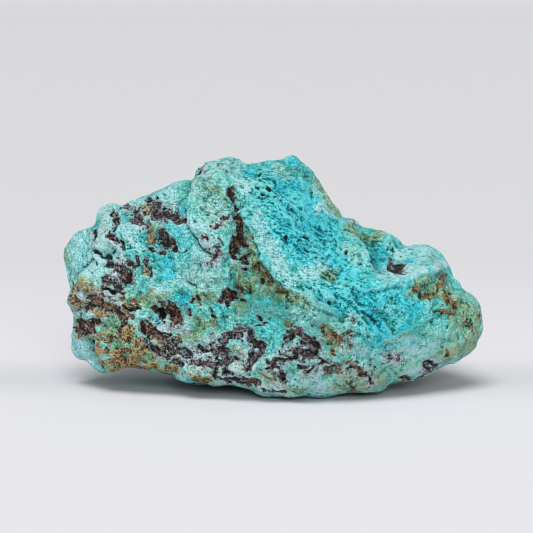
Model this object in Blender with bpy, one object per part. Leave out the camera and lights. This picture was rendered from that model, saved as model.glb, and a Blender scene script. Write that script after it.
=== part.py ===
"""A lump of raw chrysocolla, modelled as the one stone that it is, in one closed solid.

The stone is laid out on a drawing plane that leans back a little, in millimetres: across to
the right, up, and out towards the front. Three sets of hand-placed points give its form: the
outline all round, the landforms of the front, and those of the back. A sphere is carried onto
them, roughened, thinned to the triangles that its form needs, and cut flat where it rests.
"""

import math

import bmesh
import bpy
import numpy as np
from mathutils import Matrix, Vector
from mathutils.geometry import delaunay_2d_cdt

MM = 0.001

# The drawing plane, and how the stone stands on its resting face.
LEAN = math.radians(8.0)
MIDDLE = (0.0, 21.0)
TAPER_CENTRE = (-1.3, 26.1)
TAPER_LENGTH = 400.0
REST_HEIGHT = 1.4
ACROSS_SHIFT = 0.26
DEPTH_SHIFT = -5.57

# The stone's edge: how the outline rounds over to the front and the back, how far its wall
# runs back, more so at the foot, and how much plainer and smaller the outline is behind.
FACE_SHARE = 0.72
EDGE_SHARPNESS = 8.0
FRONT_EDGE = 2.5
BACK_EDGE = 8.0
BACK_EDGE_CHANGE = 2.5
BACK_EDGE_WAVE = 5.0
FOOT_BACK_EDGE = 18.0
FOOT_TOP = 10.0
FOOT_BOTTOM = 3.0
FOOT_HALF_LENGTH = (20.0, 34.0)
REAR_SHARE = 0.9
REAR_FOOT_SHARE = 1.03
REAR_FOOT_TURN = (0.55, 0.85)
REAR_CHANGE = 0.05
REAR_WAVES = 5
REAR_ROUNDING = 60
REAR_REACH = 0.4
RIM_WANDER = 2.0
RIM_WANDER_SIZE = 8.0

# Relief: the raster that the landforms are worked out on, and how soft their edges are.
RASTER_STEP = 0.25
RASTER_MARGIN = 4.0
ARRIS_ROUNDING = 0.45
WARP_SIZE = 5.0
WARP_DEPTH = 0.7
HALF_THICKNESS = 20.0

# Roughness of the broken surface.
CHIP_SIZE = 6.0
CHIP_DEPTH = 0.55
CHIP_SHARPNESS = 14.0
CHIP_SCATTER = 0.45
CHIP_STEP = 0.5
LUMP_SIZE = 3.2
LUMP_DEPTH = 0.42
LUMP_OCTAVES = 2
EDGE_ROUGHNESS = 0.45

# The mesh, and the block that the resting face is cut by.
SPHERE_DIVISIONS = 7
SETTLING_SHARE = 0.5
SETTLING = 3
KEPT_SHARE = 0.115
GROUND_SIZE = 0.2
SEED = 7

# The outline, clockwise from the right end: across, up, out.
OUTLINE = (
    (42.2, 14.6, 0), (41.8, 12.2, 0), (40.6, 9.8, 0), (38.6, 8.0, 1), (35.0, 6.4, 2),
    (31.4, 4.8, 3), (28.2, 3.2, 4), (24.4, 2.8, 5), (21.0, 1.2, 7), (15.4, 0.8, 8.5),
    (10.4, 0.0, 9.5), (4.8, 0.2, 10), (-1.6, 0.1, 10), (-4.6, 1.4, 9.5), (-8.2, 2.2, 9),
    (-13.6, 2.7, 8.5), (-16.6, 2.9, 8), (-19.0, 3.8, 7), (-20.2, 4.9, 6), (-25.0, 5.2, 5),
    (-29.2, 5.8, 4), (-32.2, 5.2, 2), (-34.0, 4.8, 0), (-36.0, 5.6, -1), (-37.4, 7.3, -2),
    (-38.8, 7.5, -3), (-40.4, 8.8, -4), (-40.6, 11.4, -4), (-40.1, 13.8, -3),
    (-40.1, 16.4, -1), (-41.3, 19.2, 0), (-40.6, 21.6, -1), (-41.4, 24.8, -3),
    (-42.2, 28.0, -4), (-41.6, 30.0, -5), (-39.6, 32.4, -5), (-37.2, 33.9, -5),
    (-35.6, 34.1, -4), (-35.3, 36.6, -3), (-34.2, 38.3, -4), (-32.2, 38.8, -4),
    (-30.4, 38.6, -4), (-27.2, 39.6, -4), (-24.0, 41.2, -4), (-20.2, 42.8, -4),
    (-17.0, 43.4, -4), (-15.8, 43.5, -3), (-15.4, 45.2, -1), (-13.6, 47.0, -1),
    (-10.8, 47.6, -2), (-8.8, 48.3, -3), (-6.6, 47.2, -4), (-5.0, 46.4, -5),
    (-2.2, 47.2, -5), (1.4, 47.7, -5), (4.0, 48.3, -6), (6.0, 46.8, -6), (8.2, 44.8, -6),
    (11.6, 39.2, -5), (13.0, 38.0, -5), (14.0, 35.9, -5), (16.2, 35.8, -8),
    (18.6, 34.0, -8), (23.6, 32.5, -8), (25.2, 31.2, -8), (26.8, 30.0, -8),
    (30.2, 30.6, -7), (33.0, 29.4, -6), (34.8, 27.7, -5), (36.2, 24.4, -4),
    (38.2, 21.4, -3), (40.6, 19.8, -2), (41.8, 17.2, -1),
)

# The front's landforms: across, up, out. Ridges are followed by the triangles' sides.
CREST = (
    (-5.4, 34.2, 11), (-3.0, 30.4, 13.5), (-0.6, 26.6, 15.5), (2.0, 22.8, 17),
    (3.8, 20.6, 18), (7.4, 19.0, 18.5), (11.4, 17.0, 18), (14.6, 15.6, 17),
)
LEDGE = (
    (17.6, 22.0, 14.5), (21.8, 22.0, 13.8), (27.8, 24.0, 11), (31.4, 25.2, 7.5),
    (33.4, 26.8, 3.5),
)
LOBE_EDGE = (
    (14.8, 34.4, -1), (16.2, 32.8, 2.5), (18.2, 30.4, 6), (20.2, 27.4, 8.8),
    (21.2, 25.2, 10.5),
)
LOBE_FOOT = ((17.2, 33.4, -4), (19.4, 30.6, -2), (21.6, 27.6, 2.5), (22.4, 25.6, 7))
CLEFT = ((-8.4, 41.0, 7.5), (-7.0, 37.0, 8), (-6.4, 32.4, 8), (-5.8, 29.4, 8.5))
SHELF = ((-32.2, 34.4, 3.5), (-24.6, 34.8, 6), (-18.4, 34.8, 7.5))
SHOULDER_EDGE = (
    (-14.8, 44.0, 2.0), (-15.6, 41.8, 4.5), (-16.2, 39.4, 7), (-17.0, 36.8, 9),
    (-16.6, 34.6, 10),
)
SHOULDER_FOOT = ((-16.8, 41.8, 1), (-17.6, 39.2, 4), (-18.4, 36.8, 6))
CRUST_EDGE = (
    (-38.2, 17.4, 4.5), (-37.6, 13.2, 4.5), (-35.8, 10.8, 5), (-34.2, 8.4, 5.5),
    (-32.8, 6.6, 5.5),
)
CRUST_FOOT = ((-39.0, 15.6, 1.5), (-38.6, 12.6, 0.5), (-36.8, 10.0, 1), (-35.0, 7.4, 1.5))
CORNER_EDGE = ((-34.6, 33.6, 3), (-35.4, 30.2, 4.5), (-36.4, 27.0, 5), (-38.4, 23.6, 4.5))
CORNER_FOOT = ((-36.2, 32.6, -1.5), (-37.0, 30.0, 0), (-38.2, 26.6, 1), (-39.8, 23.6, 1.5))
SLOPE = (
    (-4.6, 40.4, 7.5), (-0.6, 41.4, 6), (5.4, 40.4, 2.5), (2.4, 34.4, 9.5),
    (9.0, 32.4, 3.6), (6.4, 27.0, 12), (10.8, 28.6, 6.8), (13.4, 29.4, 7), (13.0, 34.4, -1),
    (14.6, 31.6, 4.5), (16.8, 28.4, 8.2), (15.8, 25.0, 11.2), (12.0, 24.4, 11.2),
    (9.0, 22.0, 15.2), (13.4, 19.6, 15.8), (17.0, 18.4, 15.6),
)
HOLLOW = (
    (20.4, 32.2, -5.5), (23.0, 29.6, -3), (24.4, 27.4, 1.2), (25.2, 25.4, 6.5),
    (27.0, 27.8, 0), (27.8, 26.0, 5), (30.8, 28.0, 0),
)
COVE = (
    (-4.6, 24.4, 9), (-6.6, 19.4, 10), (-1.6, 21.4, 12), (1.4, 18.4, 14.8),
    (-2.2, 15.4, 14),
)
PALE_SHOULDER = (
    (-11.6, 45.4, 4.5), (-13.2, 39.4, 8.8), (-10.2, 36.4, 10), (-9.4, 30.4, 11.2),
    (-13.6, 30.4, 12), (-11.6, 24.4, 13), (-16.6, 27.0, 12), (-15.6, 21.4, 13.5),
    (-10.2, 19.4, 12.5),
)
LOWER_FRONT = (
    (6.4, 14.4, 18.8), (10.6, 13.6, 18), (5.4, 10.4, 17.5), (13.4, 10.4, 17),
    (0.4, 10.4, 16), (-5.6, 12.4, 14.5), (-11.6, 13.4, 13.5), (5.4, 5.4, 16),
    (12.4, 4.4, 15), (-2.6, 5.4, 15), (-9.6, 6.4, 13), (-15.6, 7.4, 11.5),
    (2.4, 2.4, 13.5), (18.4, 5.4, 14),
)
RIGHT_FACE = (
    (20.8, 17.4, 14.5), (25.4, 18.4, 12.5), (31.4, 20.4, 8.5), (36.4, 19.4, 4.5),
    (38.4, 14.4, 4.5), (33.4, 13.4, 9), (27.4, 12.4, 13), (21.4, 11.4, 16),
    (26.4, 7.0, 11), (34.4, 9.4, 6),
)
LEFT_FACE = (
    (-20.6, 33.0, 7), (-22.6, 30.4, 5.8), (-20.2, 26.4, 9), (-24.6, 26.4, 8),
    (-21.6, 21.4, 11), (-17.6, 16.4, 12), (-22.6, 16.4, 9.2), (-24.6, 11.4, 9.5),
    (-18.6, 10.4, 11), (-28.6, 12.4, 8.5), (-29.6, 8.4, 7.5), (-22.6, 7.4, 9),
    (-30.6, 17.4, 8), (-28.6, 21.4, 7.2), (-34.6, 19.8, 6.5), (-33.6, 14.4, 6.5),
)
UPPER_LEFT = (
    (-27.6, 36.6, 2), (-21.6, 38.4, 2), (-32.6, 29.4, 5), (-28.6, 30.4, 6.5),
    (-34.0, 25.4, 5), (-39.4, 30.2, -2), (-31.0, 25.4, 6),
)
FRONT_RIDGES = (
    CREST, LEDGE, LOBE_EDGE, LOBE_FOOT, CLEFT, SHELF, SHOULDER_EDGE, SHOULDER_FOOT,
    CRUST_EDGE, CRUST_FOOT, CORNER_EDGE, CORNER_FOOT,
)
FRONT_FACES = (
    SLOPE, HOLLOW, COVE, PALE_SHOULDER, LOWER_FRONT, RIGHT_FACE, LEFT_FACE, UPPER_LEFT,
)

# Small forms on the front: how wide, how deep, and the line on the drawing plane they follow.
GROOVES = (
    (1.5, 1.0, ((-8.2, 40.8), (-7.2, 36.4), (-6.6, 33.4), (-6.6, 29.4))),
    (0.9, 0.9, ((-37.0, 29.4), (-34.6, 28.6), (-32.8, 28.4), (-32.0, 29.4))),
    (0.9, 0.8, ((-17.0, 34.0), (-15.6, 31.8), (-14.2, 30.0), (-12.6, 28.2))),
    (1.7, 1.5, ((24.4, 25.6), (25.4, 25.4))),
    (1.6, 1.4, ((-22.6, 16.6), (-20.8, 16.8))),
    (0.9, 1.2, ((-36.4, 11.4), (-36.4, 8.8))),
    (1.2, 0.8, ((-34.0, 20.8), (-31.0, 21.6), (-28.4, 22.6))),
    (1.8, 0.6, ((-9.0, 19.8), (-7.6, 20.6))),
    (1.6, 0.7, ((-25.0, 31.6), (-22.4, 31.0), (-20.6, 29.4))),
    (2.2, 0.5, ((-27.0, 38.0), (-24.0, 37.4), (-20.6, 36.2))),
    (2.4, 0.5, ((-8.0, 13.2), (-5.0, 12.0), (-3.6, 8.0))),
    (1.6, 0.6, ((2.6, 10.4), (4.4, 12.4))),
    (1.2, 1.0, ((-24.4, 29.0), (-23.8, 27.2))),
)

# The back's landforms, on the same drawing plane, so out is negative.
BACK_CREST = (
    (-33.0, 30.0, -14), (-18.0, 30.0, -20), (0.0, 26.0, -24), (16.0, 25.0, -23),
    (30.0, 22.0, -18),
)
BACK_SPUR = ((0.0, 26.0, -24), (5.0, 14.0, -23.5), (3.0, 4.0, -18))
BACK_RIB = ((-18.0, 30.0, -20), (-25.0, 19.0, -19), (-27.0, 9.0, -14))
BACK_BREAK = ((-8.0, 43.0, -13), (-5.0, 36.0, -18), (0.0, 26.0, -24))
BACK_STEP = ((-14.0, 20.0, -18), (-8.0, 16.0, -20), (-6.0, 8.0, -19))
BACK_RIDGES = (BACK_CREST, BACK_SPUR, BACK_RIB, BACK_BREAK, BACK_STEP)
BACK_FACE = (
    (-36.0, 17.0, -13), (-19.0, 37.0, -14), (-11.0, 25.0, -19), (-18.0, 12.0, -16.5),
    (6.0, 38.0, -18), (10.0, 31.0, -20), (15.0, 13.0, -20), (11.0, 5.0, -17),
    (22.0, 28.5, -20), (27.0, 12.0, -17), (21.0, 5.0, -14), (36.0, 16.0, -14.5),
    (34.0, 9.0, -12), (-12.0, 5.0, -15), (-32.0, 25.0, -16), (-33.0, 10.0, -12),
)


def smooth_step(low, high, value):
    """0 below low, 1 above high, and an S-shaped rise between."""
    share = np.clip((value - low) / (high - low), 0, 1)
    return share * share * (3 - 2 * share)


def random_lattice(cells, salt):
    """A repeatable number from -1 to 1 for each whole-numbered cell, by mixing its digits."""
    mixed = (cells.astype(np.int64) * (73856093, 19349663, 83492791)).sum(axis=-1)
    mixed = (mixed + (salt + 101 * SEED) * 2654435761) & 0xFFFFFFFF
    for shift in (16, 13, 16):
        mixed = ((mixed ^ (mixed >> shift)) * 2246822519) & 0xFFFFFFFF
    return mixed / 0x7FFFFFFF - 1.0


def waves(points, size, salt):
    """Gradient noise, about -1 to 1: random slopes on a lattice of that size, blended."""
    at = points / size
    base = np.floor(at).astype(np.int64)
    inside = at - base
    blend = inside**3 * (inside * (inside * 6 - 15) + 10)
    total = np.zeros(len(points))
    for corner in np.ndindex(2, 2, 2):
        slope = np.stack([random_lattice(base + corner, salt + k) for k in range(3)], axis=1)
        weight = np.prod(np.where(corner, blend, 1 - blend), axis=1)
        total += weight * (slope * (inside - corner)).sum(axis=1)
    return total * 1.5


def fractal(points, size, octaves, salt):
    """Waves on waves: each octave has half the size and half the height of the last."""
    return sum(waves(points, size / 2**k, salt + 10 * k) / 2**k for k in range(octaves))


def chips(points, size, sharpness, salt):
    """Flat facets, each tilted its own way and a step up or down, that meet at soft arrises."""
    at = points / size
    base = np.floor(at).astype(np.int64)
    total, weights = np.zeros(len(points)), np.zeros(len(points))
    for offset in np.ndindex(3, 3, 3):
        cell = base + np.array(offset) - 1
        jitter = np.stack([random_lattice(cell, salt + k) for k in range(3)], axis=1)
        away = at - (cell + 0.5 + CHIP_SCATTER * jitter)
        tilt = np.stack([random_lattice(cell, salt + 3 + k) for k in range(3)], axis=1)
        weight = np.exp(-sharpness * (away**2).sum(axis=1))
        step = CHIP_STEP * random_lattice(cell, salt + 6)
        total += weight * ((tilt * away).sum(axis=1) + step)
        weights += weight
    return total / np.maximum(weights, 1e-12)


def closed_curve(points, steps=12):
    """A Catmull-Rom curve through points and back to the first, as steps samples a span."""
    p = np.array(points, float)
    before, start, end, after = (np.roll(p, k, axis=0)[:, None] for k in (1, 0, -1, -2))
    s = np.arange(steps)[None, :, None] / steps
    curve = 0.5 * (
        2 * start
        + (end - before) * s
        + (2 * before - 5 * start + 4 * end - after) * s**2
        + (3 * start - before - 3 * end + after) * s**3
    )
    return curve.reshape(-1, p.shape[1])


class Outline:
    """The stone's outline as a function of the angle round the drawing plane's middle."""

    def __init__(self):
        """Shares the full turn among the samples, half by angle and half by length."""
        curve = closed_curve(OUTLINE)[::-1]
        ends = np.vstack([curve, curve[:1]])
        angle = np.unwrap(np.arctan2(ends[:, 1] - MIDDLE[1], ends[:, 0] - MIDDLE[0]))
        length = np.linalg.norm(np.diff(ends[:, :2], axis=0), axis=1).cumsum()
        even = np.concatenate([[0], length / length[-1]]) * 2 * math.pi + angle[0]
        self.turn = (angle + even) / 2
        self.ends = ends
        wide = np.vstack([curve[-REAR_ROUNDING:], curve, curve[:REAR_ROUNDING]])
        flat = np.ones(2 * REAR_ROUNDING + 1) / (2 * REAR_ROUNDING + 1)
        mean = np.stack([np.convolve(column, flat, "valid") for column in wide.T[:2]], 1)
        foot = smooth_step(*REAR_FOOT_TURN, -np.sin(self.turn[:-1]))
        share = REAR_SHARE + REAR_CHANGE * np.sin(REAR_WAVES * self.turn[:-1])
        share += foot * (REAR_FOOT_SHARE - share)
        mean = MIDDLE + share[:, None] * (mean - MIDDLE)
        self.rear_ends = np.vstack([mean, mean[:1]])

    def at(self, angle):
        """Across, up and out at each angle."""
        turned = (angle - self.turn[0]) % (2 * math.pi) + self.turn[0]
        return np.stack([np.interp(turned, self.turn, column) for column in self.ends.T], 1)

    def rear_at(self, angle):
        """Across and up at each angle, for the plainer, slightly smaller outline of the back."""
        turned = (angle - self.turn[0]) % (2 * math.pi) + self.turn[0]
        return np.stack([np.interp(turned, self.turn, column) for column in self.rear_ends.T], 1)


class Relief:
    """The height of one side of the stone over its drawing plane, kept on a fine raster."""

    def __init__(self, edge, ridges, faces):
        """Joins the points to triangles whose sides follow the ridges, and softens the arrises."""
        points = [p for group in (edge, *ridges, *faces) for p in group]
        sides, first = [], len(edge)
        for ridge in ridges:
            sides += [(first + k, first + k + 1) for k in range(len(ridge) - 1)]
            first += len(ridge)
        flat = [Vector(p[:2]) for p in points]
        kept, _, faces_found, source, _, _ = delaunay_2d_cdt(flat, sides, [], 0, 1e-6, True)
        heights = [points[ids[0]][2] for ids in source]
        plan = np.array([tuple(v) for v in kept])
        self.low = plan.min(0) - RASTER_MARGIN
        counts = np.ceil((plan.max(0) + RASTER_MARGIN - self.low) / RASTER_STEP).astype(int)
        grid = np.stack(np.meshgrid(*(np.arange(n) for n in counts), indexing="ij"), -1)
        spots = grid * RASTER_STEP + self.low
        self.height = np.full(counts, np.nan)
        for a, b, c in faces_found:
            self.fill(spots, plan[[a, b, c]], np.array([heights[a], heights[b], heights[c]]))
        self.spread()
        self.soften(ARRIS_ROUNDING / RASTER_STEP)

    def fill(self, spots, corners, heights):
        """Writes one flat triangle into the raster."""
        to_plan = np.linalg.inv(np.vstack([corners.T, np.ones(3)]))
        shares = spots @ to_plan[:, :2].T + to_plan[:, 2]
        inside = (shares > -1e-6).all(axis=-1)
        self.height[inside] = shares[inside] @ heights

    def spread(self):
        """Carries the outermost heights on past the outline, so that the edge has a height too."""
        while np.isnan(self.height).any():
            padded = np.pad(self.height, 1, constant_values=np.nan)
            sides = (padded[1:-1, 2:], padded[1:-1, :-2], padded[2:, 1:-1], padded[:-2, 1:-1])
            around = np.stack(sides)
            known = ~np.isnan(around)
            mean = np.where(known, around, 0).sum(0) / np.maximum(known.sum(0), 1)
            fresh = np.isnan(self.height) & known.any(0)
            self.height[fresh] = mean[fresh]

    def soften(self, radius):
        """Blurs the raster by a bell curve, one axis after the other."""
        reach = int(3 * radius) + 1
        bell = np.exp(-0.5 * (np.arange(-reach, reach + 1) / radius) ** 2)
        bell /= bell.sum()
        for axis in (0, 1):
            border = [(reach * (k == axis),) * 2 for k in (0, 1)]
            padded = np.pad(self.height, border, "edge")
            self.height = sum(
                share * padded.take(range(k, k + self.height.shape[axis]), axis)
                for k, share in enumerate(bell)
            )

    def at(self, plan):
        """The height at each point of the plan, from the four raster cells around it."""
        place = np.clip((plan - self.low) / RASTER_STEP, 0, np.array(self.height.shape) - 1.001)
        i, j = np.floor(place).astype(int).T
        s, t = (place - np.floor(place)).T
        near = self.height[i, j] * (1 - t) + self.height[i, j + 1] * t
        far = self.height[i + 1, j] * (1 - t) + self.height[i + 1, j + 1] * t
        return near * (1 - s) + far * s


def edge_points(front):
    """The outline's points at the depth where they round over into the front or the back."""
    found = []
    for across, up, out in OUTLINE:
        foot = 1 - smooth_step(FOOT_BOTTOM, FOOT_TOP, up)
        foot *= 1 - smooth_step(*FOOT_HALF_LENGTH, abs(across))
        behind = BACK_EDGE + BACK_EDGE_CHANGE * math.sin((across + up) / BACK_EDGE_WAVE)
        behind += (FOOT_BACK_EDGE - behind) * foot
        found.append((across, up, out + FRONT_EDGE if front else out - behind))
    return found


def distance_to_line(plan, line):
    """How far each point of the plan is from a line of straight pieces."""
    nearest = np.full(len(plan), np.inf)
    for start, end in zip(np.array(line[:-1]), np.array(line[1:])):
        along = np.clip((plan - start) @ (end - start) / ((end - start) ** 2).sum(), 0, 1)
        away = np.linalg.norm(plan - start - along[:, None] * (end - start), axis=1)
        nearest = np.minimum(nearest, away)
    return nearest


def grooved(plan):
    """How deep the grooves and pits of the front go, each round-bottomed across its width."""
    depth = np.zeros(len(plan))
    for width, most, line in GROOVES:
        depth += most * np.exp(-((distance_to_line(plan, line) / (0.6 * width)) ** 2))
    return depth


def soft_limit(value):
    """Value where it is small, never above 1, with a corner as round as EDGE_SHARPNESS gives."""
    return value / (1 + value**EDGE_SHARPNESS) ** (1 / EDGE_SHARPNESS)


def laid_out(directions):
    """Carries unit directions onto the stone: across, up and out, in millimetres.

    The angle round the front-to-back axis picks a place on the outline. The share of the way
    from the pole to the rim sets how far out towards the outline a point lies, and how much of
    the face's own depth it has, against the outline's.
    """
    outline = Outline()
    angle = np.arctan2(directions[:, 2], directions[:, 0])
    rim = outline.at(angle)
    rear = smooth_step(0, REAR_REACH, directions[:, 1])[:, None]
    edge = rim[:, :2] + rear * (outline.rear_at(angle) - rim[:, :2])
    towards_rim = 1 - np.abs(directions[:, 1])
    widest = soft_limit(np.array(FACE_SHARE**-0.5))
    reach = soft_limit((towards_rim / FACE_SHARE) ** 0.5) / widest
    facing = soft_limit((1 - towards_rim) / (1 - FACE_SHARE))
    plan = np.array(MIDDLE) + reach[:, None] * (edge - MIDDLE)
    solid_place = np.column_stack([plan, HALF_THICKNESS * directions[:, 1]])
    warp = np.column_stack([waves(solid_place, WARP_SIZE, salt) for salt in (1, 5)])
    looked_up = plan + WARP_DEPTH * facing[:, None] * warp
    front = Relief(edge_points(True), FRONT_RIDGES, FRONT_FACES).at(looked_up)
    front -= grooved(looked_up)
    back = Relief(edge_points(False), BACK_RIDGES, (BACK_FACE,)).at(looked_up)
    face = np.where(directions[:, 1] < 0, front, back)
    side = rim[:, 2] + RIM_WANDER * waves(rim, RIM_WANDER_SIZE, 20)
    return np.column_stack([plan, side + facing * (face - side)]), facing


def roughness(points, facing):
    """How far the broken surface stands above or below its landforms."""
    height = CHIP_DEPTH * chips(points, CHIP_SIZE, CHIP_SHARPNESS, 40)
    height += LUMP_DEPTH * fractal(points, LUMP_SIZE, LUMP_OCTAVES, 60)
    return height * (EDGE_ROUGHNESS + (1 - EDGE_ROUGHNESS) * facing)


def stood_up(points):
    """From the drawing plane to the stone's own frame, in metres, with Z up from the rest face."""
    across, up, out = points.T
    share = 1 - out / TAPER_LENGTH
    across = TAPER_CENTRE[0] + (across - TAPER_CENTRE[0]) * share
    up = TAPER_CENTRE[1] + (up - TAPER_CENTRE[1]) * share
    back = up * math.sin(LEAN) - out * math.cos(LEAN)
    height = up * math.cos(LEAN) + out * math.sin(LEAN)
    placed = (across + ACROSS_SHIFT, back + DEPTH_SHIFT, height - REST_HEIGHT)
    return np.column_stack(placed) * MM


def set_points(mesh, points):
    """Moves every vertex to its row of points."""
    mesh.vertices.foreach_set("co", points.astype(np.float32).ravel())
    mesh.update()


def read_vectors(values, name):
    """The named vector of every item, as rows."""
    found = np.empty(len(values) * 3, np.float32)
    values.foreach_get(name, found)
    return found.reshape(-1, 3).astype(float)


def stone_material():
    """Chalky turquoise, dull and slightly rough."""
    material = bpy.data.materials.new("chrysocolla")
    material.use_nodes = True
    shader = material.node_tree.nodes["Principled BSDF"]
    shader.inputs["Base Color"].default_value = (0.20, 0.56, 0.54, 1)
    shader.inputs["Roughness"].default_value = 0.8
    shader.inputs["Metallic"].default_value = 0.0
    return material


def make_stone(collection):
    """The stone as a fine sphere carried onto its landforms, roughened, then thinned."""
    mesh = bpy.data.meshes.new("chrysocolla_stone")
    shape = bmesh.new()
    bmesh.ops.create_icosphere(shape, subdivisions=SPHERE_DIVISIONS, radius=1.0)
    shape.to_mesh(mesh)
    shape.free()
    points, facing = laid_out(read_vectors(mesh.vertices, "co"))
    set_points(mesh, stood_up(points))
    outwards = read_vectors(mesh.vertex_normals, "vector")
    height = roughness(points, facing)
    set_points(mesh, stood_up(points) + outwards * height[:, None] * MM)
    mesh.materials.append(stone_material())
    stone = bpy.data.objects.new("chrysocolla_stone", mesh)
    collection.objects.link(stone)
    settle = stone.modifiers.new("settle", "SMOOTH")
    settle.factor = SETTLING_SHARE
    settle.iterations = SETTLING
    thin = stone.modifiers.new("thin", "DECIMATE")
    thin.ratio = KEPT_SHARE
    return stone


def cut_rest_face(stone, cutters):
    """Takes off what lies below the resting face, so that the stone has a flat to stand on."""
    box = bmesh.new()
    below = Matrix.Translation((0, 0, -GROUND_SIZE / 2))
    bmesh.ops.create_cube(box, size=GROUND_SIZE, matrix=below)
    mesh = bpy.data.meshes.new("ground")
    box.to_mesh(mesh)
    box.free()
    ground = bpy.data.objects.new("ground", mesh)
    ground.hide_render = True
    ground.display_type = "WIRE"
    cutters.objects.link(ground)
    cut = stone.modifiers.new("rest_face", "BOOLEAN")
    cut.operation = "DIFFERENCE"
    cut.solver = "EXACT"
    cut.object = ground


def new_collection(name):
    """An empty collection in the scene."""
    collection = bpy.data.collections.new(name)
    bpy.context.scene.collection.children.link(collection)
    return collection


def main():
    """Clears the scene, then makes the stone and cuts its resting face."""
    for old in list(bpy.data.objects):
        bpy.data.objects.remove(old)
    stone = make_stone(new_collection("raw_chrysocolla"))
    cut_rest_face(stone, new_collection("cutters"))


main()
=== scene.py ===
"""The looks of a lump of raw chrysocolla: its broken crust, its stains, and a pale studio.

The stone is one closed surface. A sphere's directions, laid out as the six sides of a cube, are
carried onto an outline and two sets of landforms that stand on a drawing plane: across, up and
out towards the front, in millimetres. Patches and stains are lines on that same plane, each with
a reach, and go to the material as attributes of the surface. Some patches are painted light and
shade, and the crust is also painted darker in its hollows, pits and cracks, as shade.
"""

import logging
import math
from dataclasses import dataclass, field
from enum import Enum
from typing import Any, Iterator, Sequence

import bpy
import numpy as np
from mathutils import Matrix, Vector
from mathutils.geometry import delaunay_2d_cdt


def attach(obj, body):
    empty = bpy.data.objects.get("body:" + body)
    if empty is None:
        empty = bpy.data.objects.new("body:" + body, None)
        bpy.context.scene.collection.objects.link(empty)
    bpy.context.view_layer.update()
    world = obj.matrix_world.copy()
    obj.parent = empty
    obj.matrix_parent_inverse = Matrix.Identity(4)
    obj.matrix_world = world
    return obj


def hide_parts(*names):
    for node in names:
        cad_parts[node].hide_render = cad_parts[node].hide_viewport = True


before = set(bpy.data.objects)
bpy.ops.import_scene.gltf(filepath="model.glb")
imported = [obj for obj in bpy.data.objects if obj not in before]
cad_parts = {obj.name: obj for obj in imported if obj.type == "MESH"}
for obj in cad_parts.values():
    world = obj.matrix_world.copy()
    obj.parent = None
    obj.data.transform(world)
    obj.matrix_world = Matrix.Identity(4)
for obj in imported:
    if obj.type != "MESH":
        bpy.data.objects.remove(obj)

LOG = logging.getLogger("raw_chrysocolla")
MM = 0.001
NEVER_ZERO = 1e-12
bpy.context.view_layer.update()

Array = np.ndarray
Line = tuple[tuple[float, ...], ...]
Marks = tuple[tuple[float, ...], ...]
Pair = tuple[float, float]
Triple = tuple[float, float, float]
Shade = tuple[int, int, int]
Paint = tuple[float, float, float, float]
Socket = bpy.types.NodeSocket


# ------------------------------------------------------------------------ the drawing plane


@dataclass(frozen=True)
class DrawingPlane:
    """The plane that the stone is drawn on, which leans back, and the eye straight out from it."""

    lean: float = math.radians(8.0)
    middle: Pair = (-1.3, 26.1)
    eye: float = 400.0
    shift: Triple = (0.26, -5.57, -1.4)

    def stood_up(self, points: Array) -> Array:
        """From the drawing plane to the stone's own frame.

        Args:
            points: Across, up and out, as rows, in millimetres.

        Returns:
            X, Y and Z in millimetres: drawn in towards the line from the middle to the eye by
            the share of the way to the eye, leant back, and shifted.
        """
        across, up, out = points.T
        share = 1 - out / self.eye
        across = self.middle[0] + (across - self.middle[0]) * share
        up = self.middle[1] + (up - self.middle[1]) * share
        back = up * math.sin(self.lean) - out * math.cos(self.lean)
        height = up * math.cos(self.lean) + out * math.sin(self.lean)
        return np.column_stack([across, back, height]) + self.shift

    def eye_place(self) -> Matrix:
        """Where the eye is.

        Returns:
            A matrix in metres, whose axes are the plane's right, up and out.
        """
        right = Vector((1, 0, 0))
        up = Vector((0, math.sin(self.lean), math.cos(self.lean)))
        out = Vector((0, -math.cos(self.lean), math.sin(self.lean)))
        place = Matrix((right, up, out)).transposed().to_4x4()
        across, high = self.middle
        place.translation = (right * across + up * high + out * self.eye + Vector(self.shift)) * MM
        return place


# --------------------------------------------------------------------------- the stone's form


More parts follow.
